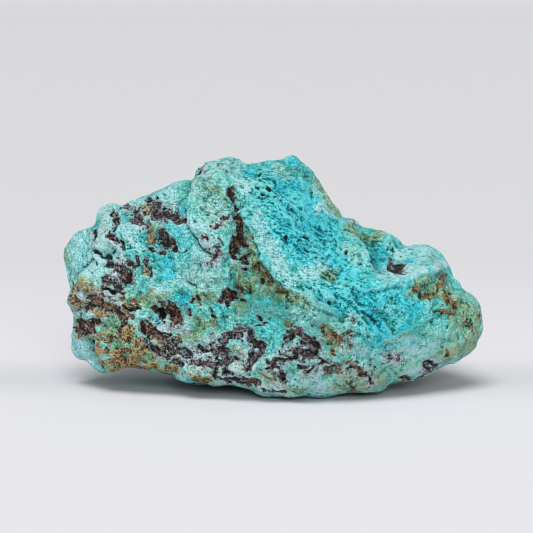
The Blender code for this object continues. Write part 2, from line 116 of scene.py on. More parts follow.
# Each corner is across, up and out. The outline goes round once; a ridge is a sharp line, which
# the landforms' triangles follow; and a face is loose points between the ridges.
OUTLINE: Line = (
    (42.2, 14.6, 0), (41.8, 12.2, 0), (40.6, 9.8, 0), (38.6, 8, 1), (35, 6.4, 2), (31.4, 4.8, 3),
    (28.2, 3.2, 4), (24.4, 2.8, 5), (21, 1.2, 7), (15.4, 0.8, 8.5), (10.4, 0, 9.5), (4.8, 0.2, 10),
    (-1.6, 0.1, 10), (-4.6, 1.4, 9.5), (-8.2, 2.2, 9), (-13.6, 2.7, 8.5), (-16.6, 2.9, 8),
    (-19, 3.8, 7), (-20.2, 4.9, 6), (-25, 5.2, 5), (-29.2, 5.8, 4), (-32.2, 5.2, 2), (-34, 4.8, 0),
    (-36, 5.6, -1), (-37.4, 7.3, -2), (-38.8, 7.5, -3), (-40.4, 8.8, -4), (-40.6, 11.4, -4),
    (-40.1, 13.8, -3), (-40.1, 16.4, -1), (-41.3, 19.2, 0), (-40.6, 21.6, -1), (-41.4, 24.8, -3),
    (-42.2, 28, -4), (-41.6, 30, -5), (-39.6, 32.4, -5), (-37.2, 33.9, -5), (-35.6, 34.1, -4),
    (-35.3, 36.6, -3), (-34.2, 38.3, -4), (-32.2, 38.8, -4), (-30.4, 38.6, -4), (-27.2, 39.6, -4),
    (-24, 41.2, -4), (-20.2, 42.8, -4), (-17, 43.4, -4), (-15.8, 43.5, -3), (-15.4, 45.2, -1),
    (-13.6, 47, -1), (-10.8, 47.6, -2), (-8.8, 48.3, -3), (-6.6, 47.2, -4), (-5, 46.4, -5),
    (-2.2, 47.2, -5), (1.4, 47.7, -5), (4, 48.3, -6), (6, 46.8, -6), (8.2, 44.8, -6),
    (11.6, 39.2, -5), (13, 38, -5), (14, 35.9, -5), (16.2, 35.8, -8), (18.6, 34, -8),
    (23.6, 32.5, -8), (25.2, 31.2, -8), (26.8, 30, -8), (30.2, 30.6, -7), (33, 29.4, -6),
    (34.8, 27.7, -5), (36.2, 24.4, -4), (38.2, 21.4, -3), (40.6, 19.8, -2), (41.8, 17.2, -1),
)
CREST: Line = (
    (-5.4, 34.2, 11), (-3, 30.4, 13.5), (-0.6, 26.6, 15.5), (2, 22.8, 17), (3.8, 20.6, 18),
    (7.4, 19, 18.5), (11.4, 17, 18), (14.6, 15.6, 17),
)
LEDGE: Line = (
    (17.6, 22, 14.5), (21.8, 22, 13.8), (27.8, 24, 11), (31.4, 25.2, 7.5), (33.4, 26.8, 3.5),
)
LOBE_EDGE: Line = (
    (14.8, 34.4, -1), (16.2, 32.8, 2.5), (18.2, 30.4, 6), (20.2, 27.4, 8.8), (21.2, 25.2, 10.5),
)
LOBE_FOOT: Line = ((17.2, 33.4, -4), (19.4, 30.6, -2), (21.6, 27.6, 2.5), (22.4, 25.6, 7))
CLEFT: Line = ((-8.4, 41, 7.5), (-7, 37, 8), (-6.4, 32.4, 8), (-5.8, 29.4, 8.5))
SHELF: Line = ((-32.2, 34.4, 3.5), (-24.6, 34.8, 6), (-18.4, 34.8, 7.5))
SHOULDER_EDGE: Line = (
    (-14.8, 44, 2), (-15.6, 41.8, 4.5), (-16.2, 39.4, 7), (-17, 36.8, 9), (-16.6, 34.6, 10),
)
SHOULDER_FOOT: Line = ((-16.8, 41.8, 1), (-17.6, 39.2, 4), (-18.4, 36.8, 6))
CRUST_EDGE: Line = (
    (-38.2, 17.4, 4.5), (-37.6, 13.2, 4.5), (-35.8, 10.8, 5), (-34.2, 8.4, 5.5), (-32.8, 6.6, 5.5),
)
CRUST_FOOT: Line = ((-39, 15.6, 1.5), (-38.6, 12.6, 0.5), (-36.8, 10, 1), (-35, 7.4, 1.5))
CORNER_EDGE: Line = ((-34.6, 33.6, 3), (-35.4, 30.2, 4.5), (-36.4, 27, 5), (-38.4, 23.6, 4.5))
CORNER_FOOT: Line = ((-36.2, 32.6, -1.5), (-37, 30, 0), (-38.2, 26.6, 1), (-39.8, 23.6, 1.5))
SLOPE: Line = (
    (-4.6, 40.4, 7.5), (-0.6, 41.4, 6), (5.4, 40.4, 2.5), (2.4, 34.4, 9.5), (9, 32.4, 3.6),
    (6.4, 27, 12), (10.8, 28.6, 6.8), (13.4, 29.4, 7), (13, 34.4, -1), (14.6, 31.6, 4.5),
    (16.8, 28.4, 8.2), (15.8, 25, 11.2), (12, 24.4, 11.2), (9, 22, 15.2), (13.4, 19.6, 15.8),
    (17, 18.4, 15.6),
)
HOLLOW: Line = (
    (20.4, 32.2, -5.5), (23, 29.6, -3), (24.4, 27.4, 1.2), (25.2, 25.4, 6.5), (27, 27.8, 0),
    (27.8, 26, 5), (30.8, 28, 0),
)
COVE: Line = (
    (-4.6, 24.4, 9), (-6.6, 19.4, 10), (-1.6, 21.4, 12), (1.4, 18.4, 14.8), (-2.2, 15.4, 14),
)
PALE_SHOULDER: Line = (
    (-11.6, 45.4, 4.5), (-13.2, 39.4, 8.8), (-10.2, 36.4, 10), (-9.4, 30.4, 11.2),
    (-13.6, 30.4, 12), (-11.6, 24.4, 13), (-16.6, 27, 12), (-15.6, 21.4, 13.5), (-10.2, 19.4, 12.5),
)
LOWER_FRONT: Line = (
    (6.4, 14.4, 18.8), (10.6, 13.6, 18), (5.4, 10.4, 17.5), (13.4, 10.4, 17), (0.4, 10.4, 16),
    (-5.6, 12.4, 14.5), (-11.6, 13.4, 13.5), (5.4, 5.4, 16), (12.4, 4.4, 15), (-2.6, 5.4, 15),
    (-9.6, 6.4, 13), (-15.6, 7.4, 11.5), (2.4, 2.4, 13.5), (18.4, 5.4, 14),
)
RIGHT_FACE: Line = (
    (20.8, 17.4, 14.5), (25.4, 18.4, 12.5), (31.4, 20.4, 8.5), (36.4, 19.4, 4.5), (38.4, 14.4, 4.5),
    (33.4, 13.4, 9), (27.4, 12.4, 13), (21.4, 11.4, 16), (26.4, 7, 11), (34.4, 9.4, 6),
)
LEFT_FACE: Line = (
    (-20.6, 33, 7), (-22.6, 30.4, 5.8), (-20.2, 26.4, 9), (-24.6, 26.4, 8), (-21.6, 21.4, 11),
    (-17.6, 16.4, 12), (-22.6, 16.4, 9.2), (-24.6, 11.4, 9.5), (-18.6, 10.4, 11),
    (-28.6, 12.4, 8.5), (-29.6, 8.4, 7.5), (-22.6, 7.4, 9), (-30.6, 17.4, 8), (-28.6, 21.4, 7.2),
    (-34.6, 19.8, 6.5), (-33.6, 14.4, 6.5),
)
UPPER_LEFT: Line = (
    (-27.6, 36.6, 2), (-21.6, 38.4, 2), (-32.6, 29.4, 5), (-28.6, 30.4, 6.5), (-34, 25.4, 5),
    (-39.4, 30.2, -2), (-31, 25.4, 6),
)
FRONT_RIDGES = (
    CREST, LEDGE, LOBE_EDGE, LOBE_FOOT, CLEFT, SHELF, SHOULDER_EDGE, SHOULDER_FOOT,
    CRUST_EDGE, CRUST_FOOT, CORNER_EDGE, CORNER_FOOT,
)
FRONT_FACES = (
    SLOPE, HOLLOW, COVE, PALE_SHOULDER, LOWER_FRONT, RIGHT_FACE, LEFT_FACE, UPPER_LEFT,
)
# Grooves and hollows: the width, the depth and the line of each.
GROOVES: tuple[tuple[float, float, Line], ...] = (
    (1.5, 1, ((-8.2, 40.8), (-7.2, 36.4), (-6.6, 33.4), (-6.6, 29.4))),
    (0.7, 0.6, ((-37, 29.4), (-34.6, 28.6), (-32.8, 28.4), (-32, 29.4))),
    (0.9, 0.8, ((-17, 34), (-15.6, 31.8), (-14.2, 30), (-12.6, 28.2))),
    (1.7, 1.5, ((24.4, 25.6), (25.4, 25.4))),
    (1.6, 1.4, ((-22.6, 16.6), (-20.8, 16.8))),
    (0.9, 1.2, ((-36.4, 11.4), (-36.4, 8.8))),
    (1.2, 0.8, ((-34, 20.8), (-31, 21.6), (-28.4, 22.6))),
    (1.8, 0.6, ((-9, 19.8), (-7.6, 20.6))),
    (1.6, 0.7, ((-25, 31.6), (-22.4, 31), (-20.6, 29.4))),
    (2.2, 0.5, ((-27, 38), (-24, 37.4), (-20.6, 36.2))),
    (2.4, 0.5, ((-8, 13.2), (-5, 12), (-3.6, 8))),
    (1.6, 0.6, ((2.6, 10.4), (4.4, 12.4))),
    (1.2, 1, ((-24.4, 29), (-23.8, 27.2))),
)
BACK_CREST: Line = (
    (-33, 30, -14), (-18, 30, -20), (0, 26, -24), (16, 25, -23), (30, 22, -18),
)
BACK_SPUR: Line = ((0, 26, -24), (5, 14, -23.5), (3, 4, -18))
BACK_RIB: Line = ((-18, 30, -20), (-25, 19, -19), (-27, 9, -14))
BACK_BREAK: Line = ((-8, 43, -13), (-5, 36, -18), (0, 26, -24))
BACK_STEP: Line = ((-14, 20, -18), (-8, 16, -20), (-6, 8, -19))
BACK_RIDGES = (BACK_CREST, BACK_SPUR, BACK_RIB, BACK_BREAK, BACK_STEP)
BACK_FACE: Line = (
    (-36, 17, -13), (-19, 37, -14), (-11, 25, -19), (-18, 12, -16.5), (6, 38, -18), (10, 31, -20),
    (15, 13, -20), (11, 5, -17), (22, 28.5, -20), (27, 12, -17), (21, 5, -14), (36, 16, -14.5),
    (34, 9, -12), (-12, 5, -15), (-32, 25, -16), (-33, 10, -12),
)


# ------------------------------------------------------------------ patches and stains in front


# Each patch is a reach, then the across and up of each corner of its line in turn. MATRIX is the
# dark rock, UMBER its warmer parts, and ISLANDS the crust that stands in it. DUST is a lilac-grey
# film; OCHRE, RUST and OLIVE_AND_CREST_SHADE are stains, though OLIVE_AND_CREST_SHADE's first
# lines, along the crest's low side and in the cove below it, are also painted shade there; and
# GREENS are green crumbs in the ochre.
# AZURE, MINT, PALE_AND_PAINTED_LIGHT and CHALK are bluer, greener, paler and greyer crust, though
# PALE_AND_PAINTED_LIGHT's lines along the bottom, the left foot and the lower right are also
# painted light. PAINTED_HOLLOW_SHADE is painted shade in hollows, PAINTED_SHADE is painted shade
# and PAINTED_LIGHT is painted light: they change how light it is. CALM and BUSY change how strong
# its grain is. GRIT is rough, streaky ground; PITS are holes.
MATRIX: Marks = (
    (0.7, -24.9, 40.8, -24.4, 39.6), (1.2, -24, 38.6, -23.2, 37.8), (1.5, -23.4, 36.8, -21.8, 36.4),
    (1, -21, 36.4, -19.4, 35.6), (0.6, -18.6, 35.6, -18.2, 35.4),
    (0.9, -27.4, 36.2, -26.4, 34.8, -25.6, 34.6), (0.5, -28.6, 35.6, -28, 34.8),
    (0.5, -30.2, 38.4, -28.6, 37.6), (0.7, -31.9, 36.4, -31.2, 35, -31.6, 33.6),
    (0.8, -32.2, 32.2, -31.6, 31.2), (0.5, -35.8, 33, -36, 31.6), (0.5, -30.6, 30.8, -30.2, 29.6),
    (1, -22.6, 32.4, -21.8, 31.4, -21.2, 30.8), (0.5, -20.6, 30.6, -19.8, 29.4),
    (0.4, -24.4, 30, -23.4, 29.4), (0.4, -22.6, 29.2, -21.6, 28.8), (0.8, -32.6, 26.6, -31.4, 25.4),
    (1.2, -30.4, 25.2, -29.2, 24.2, -29.8, 23.4), (0.7, -33.6, 23.4, -32.4, 22.6),
    (0.7, -31.6, 22.6, -30.4, 21.8), (0.6, -28.6, 26.8, -27.8, 26), (0.4, -27.2, 27.8, -27, 26.2),
    (0.4, -24.8, 25.6, -24.2, 24.6), (0.6, -25.2, 27.6, -25, 26),
    (0.6, -11.4, 29.4, -11.6, 28.2, -12.2, 27.6), (0.8, -6.2, 27.2, -5.2, 26.8, -5.2, 28),
    (0.4, -6.2, 25.6, -5.2, 25.6), (0.6, -6.2, 30.6, -5.4, 30.4),
    (0.5, -7.1, 36.4, -6.5, 34, -6.9, 32.2), (1.1, -6.8, 31.4, -7.4, 29.6),
    (0.7, -7.9, 28.8, -7.5, 27.6), (0.8, -8.5, 41.2, -7.9, 40.2), (0.35, -7.7, 38.2, -7.2, 37.4),
    (1, -8.9, 20.8, -7.8, 20.2), (0.4, -10.6, 18.9, -9.6, 20.2), (0.35, -8.9, 19.4, -8.7, 18.5),
    (0.35, -6.4, 19.4, -5.8, 19), (0.7, -23.8, 17.2, -22.6, 16.8, -22.2, 16),
    (1.4, -20.8, 17.8, -20.2, 16.4), (0.4, -17.2, 16.6, -16.8, 17.4),
    (0.3, -17.4, 18.8, -15.8, 19.4), (0.9, -36.2, 19.8, -33.6, 18.6, -31.2, 17.5, -29.6, 15.4),
    (0.5, -33.6, 22, -31.6, 20.8, -30, 21.2), (0.3, -30.2, 18.4, -26.8, 17.4),
    (0.4, -30, 14.6, -30.8, 12.6), (0.7, -29.4, 17.6, -28.4, 16), (0.7, -38, 17.4, -36.4, 18.6),
    (0.7, -39, 15, -36.6, 15.1, -35.2, 14.8), (0.8, -38.8, 13.6, -36.6, 13),
    (0.8, -40.6, 20.2, -39.4, 19), (0.6, -25.8, 15, -26, 13.4), (0.9, -22.4, 13.9, -21.2, 12.8),
    (1.4, -24.4, 13.6, -22.8, 12.4, -21.4, 11.2), (0.8, -25.4, 11.4, -24.2, 10, -22.4, 9),
    (1, -21.2, 9.8, -20.4, 10.6), (0.8, -20.8, 8.4, -18.8, 9.2), (0.6, -19.2, 7.2, -18, 6.6),
    (0.5, -17.4, 9.4, -16.6, 8.4), (0.6, -16, 7.2, -14, 6.6), (0.5, -14.6, 9.6, -13.6, 9),
    (1.3, -8.4, 12.2, -6.8, 13, -5.2, 12.8), (0.8, -9.8, 13, -9, 11.8, -10.2, 10.8),
    (0.8, -4.8, 11.6, -4, 10.8, -2.4, 10.6), (1.5, -11, 9.4, -10.2, 8.4, -9.8, 7.2),
    (0.7, -9.2, 8.2, -7.6, 7.8), (0.6, -13.4, 6.8, -12, 6.4, -11, 6.8),
    (0.8, -2.2, 10.2, -3.4, 8.6, -4.6, 7.4, -5, 5.8), (0.6, -11.8, 6, -11.2, 4.4, -10, 3.6),
    (0.5, -9.4, 3.2, -6.4, 2.7, -4, 2.4, -2.4, 2.4), (0.3, -2.2, 1.5, 0, 1, 2.4, 1.1),
    (0.5, -9.6, 5.2, -8, 5), (0.35, -6.4, 3.9, -5.8, 3.6), (0.35, -15.8, 7, -14.6, 6.4),
    (0.3, -2.8, 16.2, -2.4, 15.2), (0.25, -3.6, 14.2, -1.2, 14.8), (0.3, -12.2, 17.4, -11.6, 16),
    (1, 2.8, 11.6, 3.6, 12.6, 4.4, 13.2), (0.7, 5, 12.2, 6.4, 11.2, 7.8, 11.2),
    (0.6, 5.8, 10.4, 8.6, 10), (0.9, 5.2, 8.8, 6.8, 8.6, 8, 8.8),
    (0.45, 0, 7.7, 2.2, 7.4, 4.6, 8.2), (0.4, -1, 7.8, 0.4, 6.8, -1.4, 6.2),
    (0.6, 5.4, 6.5, 6.4, 6.1), (0.8, 1.6, 4.4, 2, 3.4), (0.3, 7, 5.4, 8.4, 6.2),
    (0.35, 8.8, 7.6, 10.2, 7), (0.5, 10.6, 5.6, 12.4, 5.9), (0.45, 15, 5.6, 16, 6.3, 17.2, 5.6),
    (0.4, 17, 4.9, 18.4, 5.1), (0.4, 19.4, 4.2, 19.6, 2.6), (0.3, 20.2, 5, 21, 6),
    (0.35, 30.2, 7, 31.4, 6.4, 32.6, 5.8), (0.3, 30.6, 6, 31.6, 5.2), (0.35, 25.6, 4, 27, 3.6),
    (0.3, 28.6, 3.7, 29.4, 4.3), (1.2, 24, 25.8, 25.2, 25.5), (0.4, 23.4, 27.8, 23.6, 26.6),
    (0.4, 23.8, 29.9, 24.2, 29.4), (0.7, -14.9, 46, -14.6, 45), (0.2, -11.8, 33.6, -11.2, 34.2),
    (0.2, -10.2, 35.2, -8.4, 36.2), (0.22, -14.1, 31.4, -13.5, 31.6, -13.2, 31),
    (0.25, -11, 31.4, -10.2, 30.4), (0.25, 31.2, 26.9, 31.6, 26.6), (0.25, 33.2, 23.9, 34, 24),
    (0.35, -16.2, 19.6, -16.4, 19),
)
UMBER: Marks = (
    (0.9, -8.9, 41.4, -8.5, 40.2), (1, -7, 36, -6.6, 33.4, -7, 30.8, -7.8, 28.4),
    (0.7, -25.6, 37.4, -25.2, 36.6), (0.8, 2.6, 11.8, 3.6, 13), (0.6, -9, 20.4, -8, 20.6),
    (1, -21.4, 17.6, -20.4, 16.4), (1.6, -35, 19, -28, 17.4), (0.6, -29.6, 24, -29, 23.6),
    (1.6, -38.6, 14.8, -30, 15), (1.4, -40.8, 20.6, -38.8, 19), (0.8, 10.8, 6, 18.4, 5),
    (1, 27, 22, 33, 23.8), (1.2, -25.4, 14.8, -23.6, 11.4), (0.6, -5.8, 2.2, -1.4, 1.8),
)
ISLANDS: Marks = (
    (0.5, -5.6, 12.4, -5.6, 11.8), (1.1, -7.4, 10.2, -5.8, 8.6), (0.9, -8.2, 6.2, -7.4, 6.4),
    (0.5, -38.4, 20.6, -37.8, 20), (0.5, -40, 16.3, -35.8, 16.1), (0.6, -23.6, 11.2, -22.8, 10.6),
    (0.6, -22.6, 14, -21, 13.6), (0.5, -32.6, 24.8, -32, 24.4), (0.5, -6.2, 29.2, -5.4, 28.8),
    (0.4, -37.8, 14.6, -37.6, 14.4),
)
DUST: Marks = (
    (1, -29.6, 38.2, -28.2, 37.6), (0.9, -36, 32.6, -35.8, 30.8),
    (1.1, -30.6, 28, -31.2, 25.8, -33.2, 22.6), (1.1, -32.8, 33.4, -31.6, 30.6),
    (1.5, -34.6, 20.4, -31.6, 19.6, -28.8, 16.6), (1.2, -39, 17.4, -36.6, 17.2),
    (1, -38.8, 21.2, -37.8, 20.4), (1.6, -25, 14, -22.6, 12, -21.4, 14.4),
    (1.8, -19.8, 9.4, -17, 8.4, -14.4, 6.6), (1.2, -20, 15.6, -18.2, 13.4),
    (2, -12.4, 8, -9.6, 6, -6.6, 5.6, -4.6, 8.8), (1.2, -7, 12.6, -4.6, 11),
    (0.8, -12, 33.6, -9.6, 35.6, -8.4, 36.2), (0.6, -5.9, 31.8, -5.6, 31),
    (0.9, -8.6, 28.4, -6.4, 26.2), (1, -12.6, 30, -11.4, 27.2, -13, 26.4),
    (1.6, 0.6, 6.8, 4.4, 9.4, 8.6, 9.6), (1.4, -1, 6.6, 1.6, 4.6, 1.4, 2.4),
    (1.6, 7, 5.6, 10, 6.4, 14, 5.4), (1.4, 23, 8, 25.4, 7), (1.6, -12, 10.6, -15.6, 9, -17.6, 8),
    (1.2, 15.4, 5.4, 18.6, 5.4, 19.4, 3), (1.2, 14.6, 10.4, 15.6, 11.4), (1, 30, 5, 32.2, 6.6),
    (0.8, 16, 15.6, 16.2, 15), (0.8, -14.6, 46.2, -13.8, 45), (0.7, -13.8, 31.6, -13.4, 31),
    (0.8, 16, 35.4, 16.8, 35.2), (1, -26.8, 37, -24.6, 36), (1, -21.4, 37.6, -19.6, 36.6),
)
OCHRE: Marks = (
    (1, -40, 21, -39.4, 22, -37.8, 22.2, -36.6, 21.2), (1.5, -40.4, 20, -39, 18.8),
    (1.1, -35.6, 20.6, -34.2, 18.6), (1.7, -38.6, 14.2, -36.6, 13.4), (1.4, -36, 14.6, -34.2, 14),
    (1.6, -35, 17.4, -32.6, 16), (1.6, -34.2, 12.6, -33.4, 9.4, -32.8, 6.8),
    (2.4, -31.6, 8.4, -27.6, 9, -24.4, 8.4), (1.9, -31, 12.6, -27.4, 12.4, -26.6, 10.4),
    (1.8, -31.4, 6.8, -26, 6.6, -22, 6.2), (1.2, -21.6, 7, -20, 6),
    (0.9, -29, 19.6, -28.4, 18.6, -27.4, 18.2), (0.7, -19.4, 11.8, -18.4, 11.4),
    (0.8, -24.8, 33, -24.4, 31.8), (0.6, -25.4, 25.4, -25.2, 24.6), (0.5, -25.8, 37.8, -25.2, 36.6),
    (0.8, -26.6, 15, -26, 13.4), (0.3, -14.9, 19.4, -14.7, 18.4), (0.4, -15.4, 3.7, -12.6, 3.4),
    (0.3, -1.4, 4.6, 0.6, 3.2),
)
GREENS: Marks = (
    (0.7, -33.4, 15.4, -31.8, 15), (0.6, -34.4, 13.4, -34, 12.6), (0.9, -33.6, 10.6, -32.4, 10.2),
    (0.8, -31.6, 11, -30.4, 10.8), (0.7, -33.6, 8.4, -33, 8.4), (0.7, -29.4, 8.2, -28.8, 8),
    (0.8, -25.8, 8.2, -25, 8), (1.2, -22.6, 7.4, -20.8, 7.2), (0.6, -26.8, 6.4, -26.2, 6.4),
    (0.6, -32.6, 13.2, -32, 13.4), (0.9, -38.6, 20.8, -37.8, 20), (0.6, -40, 16.4, -35.8, 16.2),
    (0.5, -36.6, 19.2, -36.2, 18.6), (1.4, -28.4, 16, -26.8, 15.6),
)
RUST: Marks = (
    (0.5, -3.4, 26.2, -2.8, 25.4), (0.5, -0.9, 24.4, -0.2, 23.4), (0.45, -4.6, 22, -4.2, 21),
    (0.45, 0.6, 21, 1.2, 20.8), (0.5, 2.4, 20.6, 2.8, 20), (0.25, -4.5, 32.6, -3.4, 31, -2.6, 28.8),
    (0.3, -2.6, 25, -0.6, 22.6), (0.3, 2.6, 14.9, 3.6, 14.7), (0.6, 9.6, 13.6, 10, 12.5),
    (0.5, 11, 11, 12, 12.4, 13, 11.6), (0.35, 13.6, 12.4, 15.6, 12.6),
    (0.35, 15.2, 10.8, 15.8, 9.4), (0.3, 11.9, 9.8, 12.2, 8.8), (0.8, 11, 5, 12.4, 5.6, 13.4, 5.2),
    (0.6, 17.6, 5.4, 18, 4.4), (0.6, 15.4, 2.8, 15.8, 1.8), (0.4, 15.4, 7.2, 17, 7),
    (0.3, 16.2, 15.6, 16.4, 15), (0.7, 25.8, 3.6, 26.8, 3.6), (0.7, 30.2, 20.6, 31.6, 20.8),
    (0.4, 27.8, 21.2, 29, 22), (0.4, 32.4, 22, 33.2, 23.2, 34.4, 24.2),
    (0.6, 34.4, 20.2, 34.4, 19, 35.8, 18.8, 36.2, 17.6), (0.4, 33, 17, 34.2, 16.7, 35.6, 16.7),
    (0.5, 39.2, 15, 39.8, 13.8), (0.35, 40.6, 16.6, 41, 15.8), (0.35, 34.6, 8.8, 35, 8.4),
    (0.4, -0.2, 5.6, 0.6, 5.4), (0.7, -15.4, 3.2, -13.2, 3), (0.4, -11.8, 5.4, -11.4, 4),
    (0.4, -12.2, 15.2, -11.8, 14.6), (0.4, -15, 19.8, -14.4, 18.8), (0.3, 31.2, 26.6, 31.6, 26.4),
    (0.2, 20.6, 21.2, 20.8, 21), (0.2, 22.8, 19, 22.9, 18.9), (0.5, -7, 22.4, -6.4, 20.8),
    (0.3, 16.6, 35.4, 17.4, 34.8),
)
# Olive stains; the first lines, along the crest's low side and in the cove below it, are also
# painted shade there.
OLIVE_AND_CREST_SHADE: Marks = (
    (1.6, -4.8, 31.8, -4.2, 29, -3.2, 26.4, -2.2, 23.8, 0, 21.8, 2.6, 20.4, 5.2, 18.8),
    (1.4, -4, 24, -3.6, 21.6, -1, 21), (1.2, -8, 25.4, -6.6, 24.4, -5.6, 22.6),
    (0.5, -13.4, 41.8, -11.2, 41.4, -9.8, 40.2, -9.4, 38.6), (0.8, -24.8, 34.2, -22.8, 33.8),
    (1.3, -26.4, 19, -23.4, 18.2, -22.4, 19.6), (0.9, -24.2, 21.6, -23.8, 20.4),
    (1.3, -18.4, 12, -15.4, 12.8, -13, 15), (0.9, -6.8, 18, -6, 17.6),
    (1.4, 27.8, 21.8, 31, 23, 33.4, 23.6), (1.6, 30.6, 21.2, 34.6, 20.4, 36, 17.4),
    (2.2, 38, 18.6, 38.4, 15.6, 40.4, 14.6, 40.4, 11.4, 37.8, 9.4), (1.2, 34.2, 8.4, 36.6, 9),
    (0.8, 0.6, 4, 2, 2, 6, 1.2), (0.8, 12, 1.6, 16, 2, 20.6, 2.4),
    (1.4, 13.6, 4.4, 18, 3.6, 20.6, 3.6), (1.4, 11, 12.4, 12.6, 10.4, 14.6, 11.6),
    (0.8, 2.4, 15.2, 3.4, 14.6), (1.2, -1.6, 4.6, 0.2, 3), (1.2, -15.6, 4, -12.4, 3.8),
    (0.9, -7.4, 9.6, -6.4, 8.6, -6.4, 6), (0.7, 11, 24.4, 12, 23.4), (0.9, 15.8, 34.6, 16.2, 33.2),
    (0.6, 20.4, 33, 21.4, 32), (0.4, 18.4, 23.8, 19.4, 22.9), (0.4, 23, 11, 23.4, 10.8),
    (0.35, 25.6, 12.2, 27, 12.9), (2.4, -32, 14, -30, 9, -24, 8.6), (0.9, -31, 5.8, -20, 5.2),
    (1.4, -21, 12, -20, 8), (1, -38.4, 23.4, -36.6, 22.6), (0.5, 8.8, 43.4, 10.8, 39.4, 13, 36.6),
    (0.6, -41.6, 28.4, -41.8, 27), (0.8, 10.4, 24.6, 12.6, 24.8, 12.2, 23.6),
    (1, -15, 19.6, -12.8, 19.4), (0.55, 17.4, 33, 20.6, 31.4),
)
AZURE: Marks = (
    (0.9, 25, 28.6, 27.8, 27), (1.4, -20.6, 34.6, -17, 33.4), (1, 4, 47.6, 5, 46.4),
    (3, 2, 42, 5, 41, 7, 38.5), (3.2, 5, 38, 8, 35, 9, 32),
    (3.2, 1.6, 35.5, 3.6, 31, 6.5, 27.4, 9, 25), (0.9, 0.5, 38.5, -3.5, 40.5),
    (0.7, -5, 45, -3.4, 44), (2.6, 11, 34, 12, 28.5, 14.5, 24.5),
    (2, 10.5, 20.5, 13.5, 18.8, 17, 20.4, 22, 20.6), (1.8, 17, 23.5, 19, 21.6),
    (1.4, 21, 28, 22.6, 25.4), (1.6, 26, 20, 27.4, 17.4), (2, 20.5, 14.6, 22, 12, 21, 10.4),
    (1.2, 26.4, 14, 28, 11.4), (1.4, -18.6, 20.2, -17, 19), (2, 22, 25.2, 26, 24.8, 30.4, 26),
    (1.4, 6, 40.6, 9.4, 36.6), (0.9, -22, 28, -20.6, 24.6), (1, -21, 26.6, -20.6, 26),
    (1.2, -19.4, 37.4, -16.6, 36.4), (0.8, -14.8, 28.8, -14.6, 28.2),
    (0.8, -10.4, 17.6, -10.2, 17.4), (1.4, 18, 18, 20, 16.4),
)
# Painted shade: lines where the crust is made darker in its hollows and clefts.
PAINTED_HOLLOW_SHADE: Marks = (
    (1.2, 27.8, 21.8, 31, 22.6, 33.4, 23.8), (1.2, -18.2, 40, -18, 37.4),
    (1.4, -23, 29.8, -20.8, 29.6), (0.8, -8.6, 39.6, -7.6, 38), (1, -8, 24, -7.2, 22.2),
    (2.2, -4, 20.4, -2, 17.4, 2, 17.8), (1.2, 5, 44.8, 6.4, 44.2), (1, 10.6, 24.4, 11.4, 23.8),
    (1.4, -18.4, 20.6, -17, 18.8), (1.8, 19.8, 29.6, 22, 28.4), (1.2, -4.2, 14.6, -1.6, 13.6),
    (1, -11.2, 15, -9.4, 13.6), (1, -0.2, 42.6, 1.6, 40.6, 3.4, 42.4), (0.9, -2.6, 44.4, -1, 43.6),
    (0.9, 1.6, 32.2, 3, 31.4, 6, 29.4), (0.9, 8.2, 33.4, 9.4, 31.6),
    (1.4, 18.6, 30.4, 20, 28.4, 20.8, 26), (0.7, 11, 24, 12, 22.4),
    (1.3, 16.2, 18.8, 18.6, 17.2, 20, 15.8), (1, 3, 5, 5, 2), (0.8, 21.8, 8.6, 22.8, 8.4),
    (0.8, 2.8, 37.2, 4.2, 36.2), (0.9, 11.4, 31.4, 12.8, 29.4), (0.8, -14.6, 27, -13, 26),
    (0.8, -26.4, 31.6, -25.2, 30.4), (1.8, -28, 28, -26.4, 26, -23.4, 28),
)
MINT: Marks = (
    (6, -40, 30, -32, 20, -30, 10), (5, -22, 6, -8, 4, 4, 3, 16, 4), (4, -14, 43, -12.6, 36),
    (3, -14, 21, -8, 18), (4, 24, 6, 38, 12), (4, -18, 22, -16, 12), (3, 12, 12, 16, 8),
    (2, 4, 45.4, 8.6, 41.6),
)
# Paler crust; the lines along the bottom, the left foot and the lower right are also painted light,
# on faces that look down into shade.
PALE_AND_PAINTED_LIGHT: Marks = (
    (3, -38.6, 30.6, -37, 26, -38.4, 22.6), (2.4, -34.4, 36.6, -34, 27),
    (1.6, -29, 33.4, -26.4, 33), (1.6, -27, 39.4, -19.6, 38.8, -21.4, 41),
    (1, -11, 46.6, -7.6, 44.6, -5, 41.6), (1.4, -18.4, 34.6, -14, 34.4),
    (1.2, -3.6, 35.4, 0.4, 28.6, 4, 23.4), (0.9, 9.6, 37.4, 13, 36.2),
    (1.9, 29.4, 28.8, 32.8, 27.2), (1, 25.4, 29, 28.4, 29.2), (0.8, -28.6, 31.2, -25.6, 30.4),
    (1.4, 29.6, 25.6, 26.6, 25.2, 22, 24.2), (1.2, 10.6, 25.6, 6.4, 24.6),
    (1.2, -15.4, 25, -13.2, 23, -18.6, 23.4), (1.2, -23.6, 21.8, -21.6, 21.4),
    (2, -39.2, 11.4, -36.6, 7.4), (1, 3.6, 3.8, 7.4, 3.4, 9.8, 4.6), (1, -14.6, 8.6, -12.8, 9.8),
    (1.2, 16.4, 9.6, 19, 8.4),
    (1.3, -19.6, 4.6, -14, 3.6, -8, 2.8, -2, 1.2, 6, 1.2, 12, 1.8, 20, 2.8),
    (0.8, 26, 4.4, 33, 7.4), (0.7, 25, 12.4, 29, 11, 33, 10.4), (0.7, 26.4, 9.2, 31.4, 8.8),
    (1.2, -36.6, 8.6, -35, 6.4), (1.2, 35, 8.4, 38.6, 10), (1.2, -4.8, 8.4, -4.8, 6.4),
    (1.6, -13, 32, -14.6, 27.4), (1, -22, 14, -19.4, 13.6),
)
